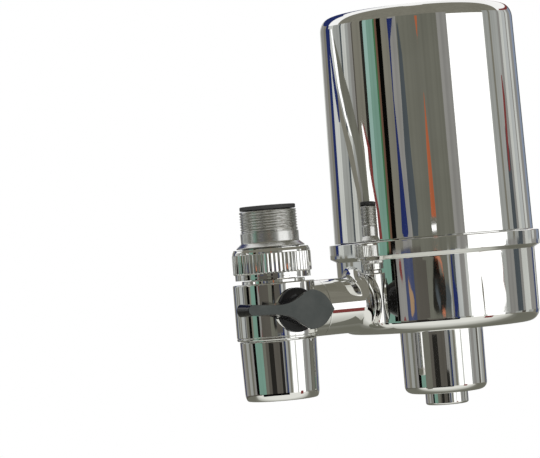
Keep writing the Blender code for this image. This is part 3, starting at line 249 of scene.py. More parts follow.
def roundedOutline(corners, arcPoints=8, closed=True, hold=0.25):
    # corners are (across, up, rounding): a rounding becomes an arc that touches both its sides, and a pair
    # of reaches a quarter ellipse. Straight runs get a point at the distance hold from each end, so that
    # shading stays flat on them.
    count = len(corners)
    places = np.array([corner[:2] for corner in corners], float)
    parts = []
    for index, corner in enumerate(corners):
        here, rounding = places[index], corner[2]
        if rounding == 0 or (not closed and index in (0, count - 1)):
            parts.append(here[None, :])
            continue
        before, after = places[index - 1] - here, places[(index + 1) % count] - here
        longBefore, longAfter = np.linalg.norm(before), np.linalg.norm(after)
        before, after = before / longBefore, after / longAfter
        if isinstance(rounding, tuple):
            bend = quarter(arcPoints + 1)[:, None]
            parts.append(here + before * rounding[0] * (1 - np.sin(bend))
                         + after * rounding[1] * (1 - np.cos(bend)))
            continue
        half = 0.5 * math.acos(float(np.clip(before @ after, -1, 1)))
        shareBefore = 0.49 if corners[index - 1][2] else 0.98
        shareAfter = 0.49 if corners[(index + 1) % count][2] else 0.98
        reach = min(rounding / math.tan(half), shareBefore * longBefore, shareAfter * longAfter)
        middle = (before + after) / np.linalg.norm(before + after)
        centre = here + middle * reach / math.cos(half)
        first, last = here + before * reach - centre, here + after * reach - centre
        turn = math.atan2(first[0] * last[1] - first[1] * last[0], first @ last)
        angles = np.linspace(0, turn, arcPoints + 1)[:, None]
        across = np.array([-first[1], first[0]])
        parts.append(centre + np.cos(angles) * first + np.sin(angles) * across)
    points = np.concatenate(parts)
    ahead = np.roll(points, -1, axis=0)
    run = ahead - points
    long = np.linalg.norm(run, axis=1)
    step = run / np.maximum(long, 1e-12)[:, None] * hold
    straight = long > 4 * hold
    if not closed:
        straight[-1] = False
    filled = np.stack([points, points + step, ahead - step], 1)
    keep = np.stack([np.ones(len(points), bool), straight, straight], 1)
    return filled[keep]


def denser(outline, lowest, highest, pitch):
    # the same outline with a point every pitch where its height lies between two values
    ahead = np.roll(outline, -1, axis=0)
    inside = (np.minimum(outline[:, 1], ahead[:, 1]) >= lowest - 1e-6) & (
        np.maximum(outline[:, 1], ahead[:, 1]) <= highest + 1e-6)
    counts = np.where(inside, np.ceil(np.linalg.norm(ahead - outline, axis=1) / pitch), 1).astype(int)
    counts = np.maximum(counts, 1)
    start = np.repeat(np.arange(len(outline)), counts)
    step = np.concatenate([np.arange(count) for count in counts]) / np.repeat(counts, counts)
    return outline[start] + (ahead[start] - outline[start]) * step[:, None]


def turnedGrid(outline, steps, centre=(0.0, 0.0), shape=None):
    # a point (radius, height) goes round the upright axis: x = radius cos turn, y = radius sin turn.
    # shape may change the radius as a function of radius, height and turn.
    turn = np.arange(steps) * fullTurn / steps
    radius, height = np.broadcast_arrays(outline[:, :1], turn)[0], outline[:, 1:] + 0 * turn
    if shape is not None:
        radius = shape(radius, height, turn)
    return np.stack([centre[0] + radius * np.cos(turn), centre[1] + radius * np.sin(turn), height], -1)


def gridShell(points, loops=True, caps=None):
    # quads between neighbours of a grid whose columns close round; rows close too, or end in caps
    rows, columns = points.shape[:2]
    row, column = np.meshgrid(np.arange(rows if loops else rows - 1), np.arange(columns), indexing="ij")
    row, column = row.ravel(), column.ravel()
    nextRow, nextColumn = (row + 1) % rows, (column + 1) % columns
    quads = np.stack([row * columns + column, nextRow * columns + column,
                      nextRow * columns + nextColumn, row * columns + nextColumn], 1)
    places = points.reshape(-1, 3)
    ring = np.arange(columns)
    faces = quads.tolist()
    if caps == "flat":
        faces += [ring.tolist(), ((rows - 1) * columns + ring[::-1]).tolist()]
    if caps == "pole":
        first, last = len(places), len(places) + 1
        places = np.vstack([places, points[0].mean(0), points[-1].mean(0)])
        ahead = (ring + 1) % columns
        faces += np.stack([np.full(columns, first), ring, ahead], 1).tolist()
        faces += np.stack([np.full(columns, last), (rows - 1) * columns + ahead,
                           (rows - 1) * columns + ring], 1).tolist()
    halves = np.concatenate([quads[:, [0, 1, 2]], quads[:, [0, 2, 3]]])
    middle = places.mean(0)
    a, b, c = (places[halves[:, k]] - middle for k in range(3))
    if np.einsum("ij,ij->i", a, np.cross(b, c)).sum() < 0:
        faces = [face[::-1] for face in faces]
    return places, faces


def addObject(name, data):
    made = bpy.data.objects.new(name, data)
    bpy.context.scene.collection.objects.link(made)
    return made


def makePiece(name, shells, finish, body, replaced=(), sharp=38.0):
    places, faces, start = [], [], 0
    for shellPlaces, shellFaces in shells:
        places.append(shellPlaces)
        faces += [[corner + start for corner in face] for face in shellFaces]
        start += len(shellPlaces)
    mesh = bpy.data.meshes.new(name)
    mesh.from_pydata((np.vstack(places) * mm).tolist(), [], faces)
    mesh.validate()
    mesh.materials.append(finishes[finish])
    mesh.shade_smooth()
    mesh.set_sharp_from_angle(angle=math.radians(sharp))
    piece = addObject(name, mesh)
    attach(piece, body)
    if replaced:
        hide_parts(*replaced)
    print("piece", name, len(mesh.polygons), "faces")
    return piece


def turnedPiece(name, corners, steps, finish, body, centre=(0.0, 0.0), arcPoints=8,
                shape=None, pitch=None, between=None, replaced=()):
    outline = roundedOutline(corners, arcPoints)
    if pitch is not None:
        outline = denser(outline, *between, pitch)
    shell = gridShell(turnedGrid(outline, steps, centre, shape))
    return makePiece(name, [shell], finish, body, replaced)


def ringCorners(span, bore, rounding):
    # a ring of the same rounding at its four edges
    return [(radius, span[level], rounding) for radius, level in (
        (span["right"], "top"), (span["right"], "bottom"), (bore, "bottom"), (bore, "top"))]


def threadWave(height, turn, pitch, depth, start, end, sharpness=0.22):
    # a helical ridge: a triangle wave of the height less the turn's share of a pitch, with flat crests,
    # fading in and out over half a pitch at each end
    phase = (height / pitch - turn / fullTurn) % 1.0
    ridge = np.clip((1 - np.abs(2 * phase - 1)) * (1 + 2 * sharpness) - sharpness, 0, 1)
    fade = np.clip((height - start) / (0.5 * pitch), 0, 1) * np.clip((end - height) / (0.5 * pitch), 0, 1)
    return depth * ridge * fade


# Faucet adapter: fine thread at the top, plain neck, cone collar, thread in the nut
adapter = {"neck": 10.75, "thread": 10.60, "bore": 8.0, "neckLength": 3.75, "collar": 12.6,
           "collarHeight": 1.9, "pitch": 1.0, "threadDepth": 0.50, "steps": 192}


def makeAdapter(size):
    top, bottom = adapterSpan["top"], adapterSpan["bottom"]
    collarTop, collarBottom = -size["neckLength"], -size["neckLength"] - size["collarHeight"]
    corners = [
        (size["bore"], top, 0.2),
        (size["thread"], top, 0.5),
        (size["thread"], 0.35, 0),
        (size["thread"] - size["threadDepth"], 0.25, 0),
        (size["thread"] - size["threadDepth"], 0.05, 0),
        (size["neck"], 0, 0.15),
        (size["neck"], collarTop, 0.5),
        (size["collar"], collarBottom + size["collarHeight"] / 6, 0.3),
        (size["collar"], collarBottom, 0.1),
        (size["thread"], collarBottom, 0),
        (size["thread"], bottom, 0.5),
        (size["bore"], bottom, 0.2),
    ]

    def cutThread(radius, height, turn):
        outer = radius > size["bore"] + 1.2
        upper = threadWave(height, turn, size["pitch"], size["threadDepth"], 0.4, top - 0.2)
        lower = threadWave(height, turn, size["pitch"], size["threadDepth"], bottom, collarBottom)
        return radius - np.where(outer, upper + lower, 0)

    turnedPiece("adapterTurned", corners, size["steps"], "chromeSatin", "adapter",
                shape=cutThread, pitch=0.07, between=(0.4, top), replaced=["faucet_adapter"])


makeAdapter(adapter)

washer = {"rounding": 0.35, "bore": 7.4, "steps": 128}


def makeWasher(size):
    span = nodeSpan("adapter_washer")
    corners = ringCorners(span, size["bore"], size["rounding"])
    turnedPiece("washerMoulded", corners, size["steps"], "rubber", "adapter",
                replaced=["adapter_washer"])


makeWasher(washer)

# Swivel nut: rounded shoulder, a knurl of round ridges, and a plain foot
nut = {"radius": 14.5, "shoulder": 1.85, "shoulderRounding": 1.6, "foot": 2.3, "footStep": 0.62,
       "bore": 10.9, "lip": 1.25, "lipBore": 8.4,
       "coreDrop": 0.22, "ridges": 56, "ridgeDepth": 0.30, "ridgeCrest": 0.20, "acrossRidge": 14,
       "fade": 0.12, "runOut": 0.30, "runOutBelow": 0.30, "runOutLength": 0.55}


def makeNut(size):
    top, bottom = nutSpan["top"], nutSpan["bottom"]
    knurlTop, knurlBottom = top - size["shoulder"], bottom + size["foot"]
    core = size["radius"] - size["coreDrop"]
    footRadius = size["radius"] - size["footStep"]
    corners = [
        (size["bore"] + 0.6, top, 0.1),
        (core, top, size["shoulderRounding"]),
        (core, knurlTop + 0.05, 0),
        (size["radius"], knurlTop - 0.05, 0.08),
        (size["radius"], knurlBottom, 0.25),
        (footRadius, knurlBottom - 0.25, 0.1),
        (footRadius, bottom, 0.9),
        (size["lipBore"], bottom, 0.2),
        (size["lipBore"], bottom + size["lip"], 0.1),
        (size["bore"], bottom + size["lip"], 0),
        (size["bore"], top - 0.6, 0),
    ]

    def knurl(radius, height, turn):
        # across runs from -1 to 1 over a ridge, whose section is a hyperbola: flat flanks, a round crest.
        # The grooves fade in at both ends of the knurl, and go deeper where they run out at its foot.
        across = 2 * ((turn * size["ridges"] / fullTurn) % 1.0) - 1
        crest = size["ridgeCrest"]
        groove = (np.sqrt(across**2 + crest**2) - crest) / (math.sqrt(1 + crest**2) - crest)
        above = np.clip((knurlTop + 0.02 - height) / size["fade"], 0, 1)
        below = np.clip((height - knurlBottom + size["runOutBelow"]) / size["fade"], 0, 1)
        rise = np.clip((height - knurlBottom + 0.05) / size["runOutLength"], 0, 1)
        valley = 1 - np.sqrt(np.clip(1 - across**2, 0, 1))
        cut = size["ridgeDepth"] * groove * above * below
        cut = cut + size["runOut"] * (1 - rise) ** 2 * valley * below
        outer = radius > size["bore"] + 2.0
        return np.where(outer, np.maximum(radius - cut, footRadius - 0.02), radius)

    columns = size["ridges"] * size["acrossRidge"]
    turnedPiece("nutKnurled", corners, columns, "chromeTurned", "nut", shape=knurl,
                pitch=0.22, between=(knurlBottom - 0.4, knurlTop + 0.2),
                arcPoints=7, replaced=["swivel_nut"])


makeNut(nut)

# Diverter body: upright cylinder with a bead, the short end of the arm and the boss for the spindle
divert = {"radius": 15.04, "boss": 11.6, "bossHeight": 1.25, "edge": 0.4,
          "bead": 0.8, "groove": 0.22, "spigot": 11.4, "spigotLength": 5.9,
          "socket": 8.4, "waterway": 3.6, "arm": 10.45, "armEdge": 0.1,
          "armBore": 7.4, "armBoreDepth": 3.0, "valveBoss": 7.7, "valveBossEdge": 0.12,
          "valveBore": 5.6, "valveBoreDepth": 2.5, "spigotWall": 2.9, "spigotFloor": 1.9,
          "socketDepth": 5.0, "steps": 288, "armSteps": 192, "valveBossSteps": 128}


def barGrid(corners, steps, origin, direction, arcPoints=6):
    # a turned outline (radius, distance) laid along a level direction from an origin
    outline = roundedOutline(corners, arcPoints, closed=False)
    turn = np.arange(steps) * fullTurn / steps
    side = np.array([-direction[1], direction[0], 0.0])
    radius, along = outline[:, 0][:, None, None], outline[:, 1][:, None, None]
    ring = np.cos(turn)[:, None] * side + np.sin(turn)[:, None] * np.array([0.0, 0.0, 1.0])
    return np.array(origin) + along * np.array([*direction, 0.0]) + radius * ring


def makeBody(size):
    top, bottom = bodySpan["top"], bodySpan["bottom"]
    shoulder = top - size["bossHeight"]
    foot = bottom + size["spigotLength"]
    bead = foot + size["bead"]
    radius, spigotBore = size["radius"], size["spigot"] - size["spigotWall"]
    spigotTop, socketFoot = foot - size["spigotFloor"], top - size["socketDepth"]
    corners = [
        (size["socket"], top, 0.2),
        (size["boss"], top, 0.3),
        (size["boss"], shoulder, 0.15),
        (radius, shoulder, size["edge"]),
        (radius, bead + 2 * size["groove"], 0.1),
        (radius - size["groove"], bead + size["groove"], 0.1),
        (radius, bead, 0.1),
        (radius, foot, size["edge"]),
        (size["spigot"], foot, 0),
        (size["spigot"], bottom, 0.5),
        (spigotBore, bottom, 0.2),
        (spigotBore, spigotTop, 0),
        (size["waterway"], spigotTop, 0),
        (size["waterway"], socketFoot, 0),
        (size["socket"], socketFoot, 0),
    ]
    upright = gridShell(turnedGrid(roundedOutline(corners), size["steps"]))

    def sideways(reach, radius, edge, bore, depth, origin, direction, steps):
        # a short round bar with a blind bore in its end, which starts inside the upright body
        corners = [(radius, reach[0], 0), (radius, reach[1], edge), (bore, reach[1], 0.1),
                   (bore, reach[1] - depth, 0)]
        return gridShell(barGrid(corners, steps, origin, direction), loops=False, caps="pole")

    stub = sideways((0.55 * radius, bodySpan["right"] + 0.1), size["arm"], size["armEdge"], size["armBore"],
                    size["armBoreDepth"], (0, 0, armZ), (1, 0), size["armSteps"])
    boss = sideways((0.6 * radius, -bodySpan["front"]), size["valveBoss"], size["valveBossEdge"],
                    size["valveBore"], size["valveBoreDepth"], (0, 0, valveZ), (0, -1),
                    size["valveBossSteps"])
    makePiece("bodyCast", [upright, stub, boss], "chromeTurned", "diverter",
              ["diverter_body"])


makeBody(divert)

# Bypass sleeve: slightly tapered, rolled in at its foot
sleeve = {"taper": 0.50, "roll": (3.0, 1.0), "lip": 2.5, "mouth": 8.8,
          "bore": 10.6, "threadBore": 11.7, "threadLength": 6.3, "edge": 0.35, "steps": 288}


def makeSleeve(size):
    top, bottom, radius = sleeveSpan["top"], sleeveSpan["bottom"], sleeveSpan["right"]
    threadFoot = top - size["threadLength"]
    corners = [
        (radius, top, size["edge"]),
        (radius - size["taper"], bottom, size["roll"]),
        (size["mouth"], bottom, 0.6),
        (size["mouth"], bottom + size["lip"], 0.2),
        (size["bore"], bottom + size["lip"], 0),
        (size["bore"], threadFoot, 0),
        (size["threadBore"], threadFoot, 0),
        (size["threadBore"], top, 0.2),
    ]
    turnedPiece("sleeveTurned", corners, size["steps"], "chromeTurned", "diverter",
                arcPoints=12, replaced=["aerator_sleeve"])


makeSleeve(sleeve)

# Aerator screen: two layers of crimped wire inside a rim
screen = {"wire": 0.13, "pitch": 0.72, "crimp": 0.12, "points": 90, "sides": 6, "wireEnd": 0.35,
          "margin": 0.5, "rim": 0.7, "rimEdge": 0.15, "rimSteps": 128}


def tubeAlong(path, radius, sides):
    # rings of a small radius carried along a path, square to its direction
    ahead = np.gradient(path, axis=0)
    ahead = ahead / np.linalg.norm(ahead, axis=1)[:, None]
    side = np.cross(ahead, np.array([0.0, 0.0, 1.0]))
    side = side / np.linalg.norm(side, axis=1)[:, None]
    up = np.cross(side, ahead)
    turn = (np.arange(sides) * fullTurn / sides)[None, :, None]
    return path[:, None, :] + radius * (np.cos(turn) * side[:, None, :] + np.sin(turn) * up[:, None, :])


def makeAeratorScreen(size):
    span = nodeSpan("aerator_screen")
    middle, reach = middleZ(span), span["right"]
    shells = []
    count = int((reach - size["margin"]) / size["pitch"])
    for index in range(-count, count + 1):
        offset = index * size["pitch"]
        half = math.sqrt((reach - size["wireEnd"]) ** 2 - offset**2)
        along = np.linspace(-half, half, size["points"])
        wave = size["crimp"] * np.cos(math.pi * along / size["pitch"])
        sign = 1 if index % 2 == 0 else -1
        level = np.full_like(along, offset)
        east = np.stack([along, level, middle + sign * wave], 1)
        north = np.stack([level, along, middle - sign * wave], 1)
        for path in (east, north):
            shells.append(gridShell(tubeAlong(path, size["wire"], size["sides"]), loops=False, caps="flat"))
    rim = roundedOutline(ringCorners(span, reach - size["rim"], size["rimEdge"]), 4)
    shells.append(gridShell(turnedGrid(rim, size["rimSteps"])))
    makePiece("screenWoven", shells, "steelWire", "diverter", ["aerator_screen"])


makeAeratorScreen(screen)
print("valve side done")

# Canister base and arm in one casting
base = {"radius": 38.0, "band": 40.2, "bandHeight": 5.4, "bandSlope": 1.2,
        "rounding": 4.5, "belowArm": 11.85, "wall": 3.0, "floor": 3.6,
        "collarBore": 36.3, "collarDepth": 9.3, "spigot": 12.0, "outlet": 4.2,
        "socket": 6.3, "socketWall": 3.0, "socketHeight": 10.5,
        "arm": 10.45, "armEdge": 0.1, "armRun": 0.7, "armBore": 7.3, "armBoreDepth": 8.5,
        "outletDepth": 4.0, "fillet": 4.0, "around": 256, "acrossFillet": 22, "steps": 384}


def filletRows(size):
    # A ball of the fillet's radius rolls in the corner between the arm and the canister. Its centre keeps
    # the fillet's radius to both; the surface is the ball's arc from the arm's side to the canister's.
    turn = np.arange(size["around"]) * fullTurn / size["around"]
    out = np.stack([0 * turn, np.cos(turn), np.sin(turn)], 1)
    side = (size["arm"] + size["fillet"]) * out[:, 1]
    up = armZ + (size["arm"] + size["fillet"]) * out[:, 2]
    footZ = armZ - size["belowArm"] + size["rounding"]
    below = np.minimum(up - footZ, 0)
    low = up < footZ
    edge = np.where(low, size["radius"] - size["rounding"], size["radius"])
    reach = np.where(low, np.sqrt(np.clip((size["rounding"] + size["fillet"]) ** 2 - below**2, 0, None)),
                     size["fillet"])
    back = np.sqrt((edge + reach) ** 2 - side**2)
    centre = np.stack([canisterX - back, side, up], 1)
    plan = np.stack([back, -side, 0 * side], 1) / (edge + reach)[:, None]
    target = np.array([canisterX, 0, 0]) + np.stack([0 * up, 0 * up, np.where(low, footZ, up)], 1)
    towards = target - plan * edge[:, None] - centre
    towards = towards / np.linalg.norm(towards, axis=1)[:, None]
    angle = np.arccos(np.clip((-out * towards).sum(1), -1, 1))[:, None]
    rows = []
    for share in np.linspace(0, 1, size["acrossFillet"]):
        mixed = (-out * np.sin((1 - share) * angle) + towards * np.sin(share * angle)) / np.sin(angle)
        rows.append(centre + size["fillet"] * mixed)
    rows.append(rows[-1] + towards * size["wall"] / 3)
    return out, rows


def makeBase(size):
    top, bottom = baseSpan["top"], baseSpan["bottom"]
    foot = armZ - size["belowArm"]
    floor = foot + size["floor"]
    bandBottom = top - size["bandHeight"]
    outletTop, collarFoot = foot - size["outletDepth"], top - size["collarDepth"]
    socketTop, socketOut = floor + size["socketHeight"], size["socket"] + size["socketWall"]
    inside = size["radius"] - size["wall"]
    corners = [
        (size["collarBore"], top, 0.3),
        (size["band"], top, 0.35),
        (size["band"], bandBottom, 0.3),
        (size["radius"], bandBottom - size["bandSlope"], 0.5),
        (size["radius"], foot, size["rounding"]),
        (size["spigot"], foot, 0.2),
        (size["spigot"], bottom, 0.4),
        (size["outlet"], bottom, 0),
        (size["outlet"], outletTop, 0),
        (size["socket"], outletTop, 0),
        (size["socket"], socketTop, 0.3),
        (socketOut, socketTop, 0.3),
        (socketOut, floor, 0.5),
        (inside, floor, 3.5),
        (inside, collarFoot, 0),
        (size["collarBore"], collarFoot, 0),
    ]
    bowl = gridShell(turnedGrid(roundedOutline(corners, 14), size["steps"], (canisterX, 0)))
    start = baseSpan["left"] - 0.1
    out, fillet = filletRows(size)
    flare = fillet[0][:, 0]
    straight = start + size["armRun"]

    def armRow(x, radius):
        places = out * radius
        places[:, 0] = x
        return places + np.array([0, 0, armZ])

    edge, bore = size["armEdge"], size["armBore"]
    rows = [armRow(start + size["armBoreDepth"], bore), armRow(start, bore)]
    for bend in quarter(5):
        rows.append(armRow(start + edge * (1 - math.cos(bend)), size["arm"] - edge * (1 - math.sin(bend))))
    for share in (0, 0.5, 0.95):
        rows.append(armRow(straight + (flare - straight) * share, size["arm"]))
    arm = gridShell(np.stack(rows + fillet), loops=False, caps="pole")
    makePiece("baseCast", [bowl, arm], "chromeCast", "diverter", ["filter_base"])


makeBase(base)

# Cover: drawn cap with a rolled top edge, and a threaded skirt that the band hides
cover = {"foot": 38.1, "top": 36.9, "pole": 0.4, "roll": (3.4, 5.0), "wall": 2.3, "skirt": 36.0,
         "skirtWall": 3.8, "ringGroove": 34.1, "ringZ": 5.7, "ringHalf": 1.1,
         "pitch": 3.0, "threadDepth": 0.7, "steps": 384}


def makeCover(size):
    top, bottom = coverSpan["top"], coverSpan["bottom"]
    foot = baseSpan["top"] + gap
    ringZ = baseSpan["top"] - size["ringZ"]
    ringTop, ringFoot = ringZ + size["ringHalf"], ringZ - size["ringHalf"]
    inside = size["skirt"] - size["skirtWall"]
    corners = [
        (size["pole"], top, 0),
        (size["top"], top, size["roll"]),
        (size["foot"], foot, 0.25),
        (size["skirt"], foot, 0),
        (size["skirt"], ringTop, 0.1),
        (size["ringGroove"], ringTop, 0),
        (size["ringGroove"], ringFoot, 0),
        (size["skirt"], ringFoot, 0.1),
        (size["skirt"], bottom, 0.4),
        (inside, bottom, 0.3),
        (inside, foot + size["wall"], 0),
        (size["foot"] - size["wall"], foot + 2 * size["wall"], 0),
        (size["top"] - size["wall"], top - size["wall"], 1.8),
        (size["pole"], top - size["wall"], 0),
    ]
    outline = denser(roundedOutline(corners, 18, closed=False), ringTop, foot, 0.2)
    outline[-1] = corners[-1][:2]

    def cutThread(radius, height, turn):
        outer = (radius > size["skirt"] - 0.1) & (height < foot - 0.1)
        wave = threadWave(height, turn, size["pitch"], size["threadDepth"], ringTop, foot)
        return radius - np.where(outer, wave, 0)

    shell = gridShell(turnedGrid(outline, size["steps"], (canisterX, 0), cutThread), loops=False, caps="pole")
    makePiece("coverDrawn", [shell], "chromeDrawn", "cover", ["cover_shell"])


makeCover(cover)

# Outlet housing and spout below the base
outlet = {"taper": 0.1, "rounding": 2.8, "floor": 4.1, "bore": 12.3, "edge": 0.35,
          "hole": 8.5, "cavity": 10.8, "spout": 8.2, "spoutBore": 5.8,
          "boreDepth": 11.0, "flange": 10.0, "flangeHeight": 1.6, "spoutEdge": 0.8,
          "steps": 288, "spoutSteps": 224}


def makeOutlet(size):
    top, bottom = housingSpan["top"], housingSpan["bottom"]
    radius = (housingSpan["right"] - housingSpan["left"]) / 2
    step, floor = top - size["boreDepth"], bottom + size["floor"]
    corners = [
        (radius, top, size["edge"]),
        (radius - size["taper"], bottom, size["rounding"]),
        (size["hole"], bottom, 0.3),
        (size["hole"], floor, 0),
        (size["cavity"], floor, 0),
        (size["cavity"], step, 0),
        (size["bore"], step, 0),
        (size["bore"], top, 0.2),
    ]
    turnedPiece("outletHousingTurned", corners, size["steps"], "chromeTurned", "diverter",
                centre=(canisterX, 0), arcPoints=12, replaced=["outlet_housing"])
    flangeBottom = spoutSpan["top"] - size["flangeHeight"]
    corners = [
        (size["flange"], spoutSpan["top"], 0.2),
        (size["flange"], flangeBottom, 0.2),
        (size["spout"], flangeBottom, 0),
        (size["spout"], spoutSpan["bottom"], size["spoutEdge"]),
        (size["spoutBore"], spoutSpan["bottom"], 0.5),
        (size["spoutBore"], spoutSpan["top"], 0.2),
    ]
    turnedPiece("outletSpoutTurned", corners, size["spoutSteps"], "chromeTurned", "diverter",
                centre=(canisterX, 0), replaced=["outlet_spout"])


makeOutlet(outlet)
print("canister side done")

# Lever: a leaf with a narrow handle, on a round foot that curves in to it
lever = {"restTurn": math.radians(3.75), "backRound": 1.2, "handleEnd": -24.594, "handleHalf": 1.9,
         "leafTip": 10.3, "edge": 0.3, "handleDraft": 1.20, "leafDraft": 0.72,
         "foot": 8.1, "footHeight": 0.8, "footEdge": 0.15, "footReach": 0.72, "footSteps": 160,
         "waist": 4.0, "waistReach": 0.8, "facing": -0.6,
         "stations": np.array([-22.7, -12.3, -8.0, -4.9, -0.6, 1.6, 4.3, 6.7, 9.0]),
         "halves": np.array([1.90, 1.75, 2.50, 4.00, 6.70, 7.15, 6.45, 5.00, 2.20])}


def smoothThrough(stations, values, places):
    # a cubic through the stations whose slope at each is that of the line between its neighbours
    count = len(stations)
    before, after = np.maximum(np.arange(count) - 1, 0), np.minimum(np.arange(count) + 1, count - 1)
    slope = (values[after] - values[before]) / (stations[after] - stations[before])
    index = np.clip(np.searchsorted(stations, places, side="right") - 1, 0, count - 2)
    width = stations[index + 1] - stations[index]
    share = (places - stations[index]) / width
    return (values[index] * (1 + 2 * share) * (1 - share) ** 2
            + slope[index] * width * share * (1 - share) ** 2
            + values[index + 1] * share**2 * (3 - 2 * share)
            + slope[index + 1] * width * share**2 * (share - 1))


def leafOutline(size, points=110, endPoints=14):
    # upper half from the handle's round end to the tip, then the same mirrored back
    first, last = size["stations"][0], size["stations"][-1]
    bend = np.linspace(math.pi, math.pi / 2, endPoints, endpoint=False)
    end = np.stack([first + (first - size["handleEnd"]) * np.cos(bend), size["handleHalf"] * np.sin(bend)], 1)
    across = np.linspace(first, last, points)
    middle = np.stack([across, smoothThrough(size["stations"], size["halves"], across)], 1)
    rise = np.linspace(0, 1, 9)[1:]
    tip = np.stack([last + (size["leafTip"] - last) * rise, size["halves"][-1] * (1 - rise)], 1)
    upper = np.concatenate([end, middle, tip])
    return np.concatenate([upper, upper[-2:0:-1] * np.array([1, -1])])


def leafSection(outline, size, depth, inset, pull):
    # depth is 0 at the back and 1 at the face; the drafts widen the handle and narrow the leaf backwards,
    # and pull draws in the handle's round end where its back edge is rounded
    across, height = outline[:, 0], outline[:, 1]
    leaf = np.clip((across + 10) / 10, 0, 1)
    draft = size["handleDraft"] + (size["leafDraft"] - size["handleDraft"]) * leaf
    scale = draft + (1 - draft) * depth
    end = size["stations"][0]
    drawn = across + pull * np.clip((end - across) / (end - size["handleEnd"]), 0, 1)
    moved = np.stack([np.where(across < 0, drawn, across * scale), height * scale], 1)
    ahead = np.roll(moved, -1, 0) - np.roll(moved, 1, 0)
    inward = np.stack([ahead[:, 1], -ahead[:, 0]], 1)
    inward = inward / np.maximum(np.linalg.norm(inward, axis=1), 1e-12)[:, None]
    return moved + inward * inset


def atRest(points):
    # turned about the spindle to the rest position
    c, s = math.cos(lever["restTurn"]), math.sin(lever["restTurn"])
    x, z = points[..., 0], points[..., 2]
    return np.stack([x * c + z * s, points[..., 1], -x * s + z * c + valveZ], -1)


def makeLever(size):
    back = bodySpan["front"] - gap
    front = leverSpan["front"]
    depth = back - front
    outline = leafOutline(size)
    rows = []
    edge, backEdge = size["edge"], size["backRound"]
    levels = [(backEdge / depth * (1 - math.cos(bend)), 0.0, backEdge * (1 - math.sin(bend)))
              for bend in quarter(8)]
    levels += [(0.3, 0.0, 0.0), (0.6, 0.0, 0.0), (0.9, 0.0, 0.0)]
    levels += [(1 - edge / depth * (1 - math.sin(bend)), edge * (1 - math.cos(bend)), 0.0)
               for bend in quarter(5)]
    for share, inset, pull in levels:
        section = leafSection(outline, size, share, inset, pull)
        rows.append(np.stack([section[:, 0], np.full(len(section), back - depth * share), section[:, 1]], 1))
    blade = gridShell(atRest(np.stack(rows)), loops=False, caps="flat")
    bladeFaces = len(blade[1])
    bend = quarter(26)
    neck = size["waist"] + (size["foot"] - size["waist"]) * (1 - np.cos(bend))
    rise = size["footHeight"] + (size["footReach"] * depth - size["footHeight"]) * (1 - np.sin(bend))
    outer = np.concatenate([[[size["waist"], size["waistReach"] * depth]], np.stack([neck, rise], 1),
                            [[size["foot"], size["footEdge"]], [size["foot"] - size["footEdge"], 0]]])
    turn = np.arange(size["footSteps"]) * fullTurn / size["footSteps"]
    footGrid = np.stack([outer[:, :1] * np.cos(turn), back - outer[:, 1:] + 0 * turn,
                         outer[:, :1] * np.sin(turn)], -1)
    foot = gridShell(atRest(footGrid), loops=False, caps="pole")
    piece = makePiece("leverMoulded", [blade, foot], "leverGloss", "valve",
                      ["diverter_lever"], sharp=50)
    mesh = piece.data
    mesh.materials.append(finishes["leverFace"])
    normals = np.empty(len(mesh.polygons) * 3)
    mesh.polygons.foreach_get("normal", normals)
    facing = normals.reshape(-1, 3)[:, 1] < size["facing"]
    facing[bladeFaces:] = False
    mesh.polygons.foreach_set("material_index", facing.astype(np.int32))


makeLever(lever)
print("lever done")


# Studio: pale floor, white surroundings, and cards that only reflections see
studio = {"floorZ": -0.34, "floorRadius": 6.0, "floorSides": 96, "paleFrom": 0.5, "paleTo": 1.6,
          "cardRadius": 1.6, "worldFill": 0.62}
# Camera: aim and distance in metres, angles in degrees, lens and sensor in millimetres
view = {"aim": Vector((0.0003, -0.0002, 0.0011)), "azimuth": -28.04, "elevation": -0.916, "roll": -4.746,
        "distance": 0.7603, "lens": 137.6, "sensor": 36.0}


def makeCamera(size):
    azimuth, elevation = math.radians(size["azimuth"]), math.radians(size["elevation"])
    back = Vector((math.sin(azimuth) * math.cos(elevation), -math.cos(azimuth) * math.cos(elevation),
                   math.sin(elevation)))
    data = bpy.data.cameras.new("camera")
    data.sensor_width, data.lens = size["sensor"], size["lens"]
    data.clip_start, data.clip_end = 0.01, 50
    made = addObject("camera", data)
    facing = (-back).to_track_quat("-Z", "Y").to_matrix().to_4x4()
    roll = Matrix.Rotation(math.radians(size["roll"]), 4, "Z")
    made.matrix_world = Matrix.Translation(size["aim"] + back * size["distance"]) @ facing @ roll
    bpy.context.scene.camera = made


makeCamera(view)


def aroundObject(azimuth, radius, height):
    # places round the object: azimuth 0 lies towards the camera, and more degrees to its right
    turn, radius, height = np.broadcast_arrays(np.radians(view["azimuth"] + azimuth), radius, height)
    return np.stack([canisterX / 2 * mm + radius * np.sin(turn), -radius * np.cos(turn), height], -1)


def emissionFinish(name, colour, strength, streak):
    # a glowing card whose tone may vary in upright streaks
    made, tree = newFinish(name)
    tree.nodes.remove(tree.nodes["Principled BSDF"])
    if streak:
        fac = noiseFac(tree, 9.0, 6.0, (1, 1, 0.04))
        strength = spread(tree, fac, strength * (1 - streak), strength * (1 + streak))
    glow = addNode(tree, "ShaderNodeEmission", "Emission", {"Color": colour, "Strength": strength})
    feed(tree, tree.nodes["Material Output"], {"Surface": glow})
    return made


def makeCard(name, points, finish):
    rows, columns = points.shape[:2]
    index = np.arange(rows * columns).reshape(rows, columns)
    faces = np.stack([index[:-1, :-1], index[:-1, 1:], index[1:, 1:], index[1:, :-1]], -1).reshape(-1, 4)
    mesh = bpy.data.meshes.new(name)
    mesh.from_pydata(points.reshape(-1, 3).tolist(), [], faces.tolist())
    mesh.materials.append(finish)
    card = addObject(name, mesh)
    card.visible_camera = card.visible_diffuse = card.visible_shadow = False


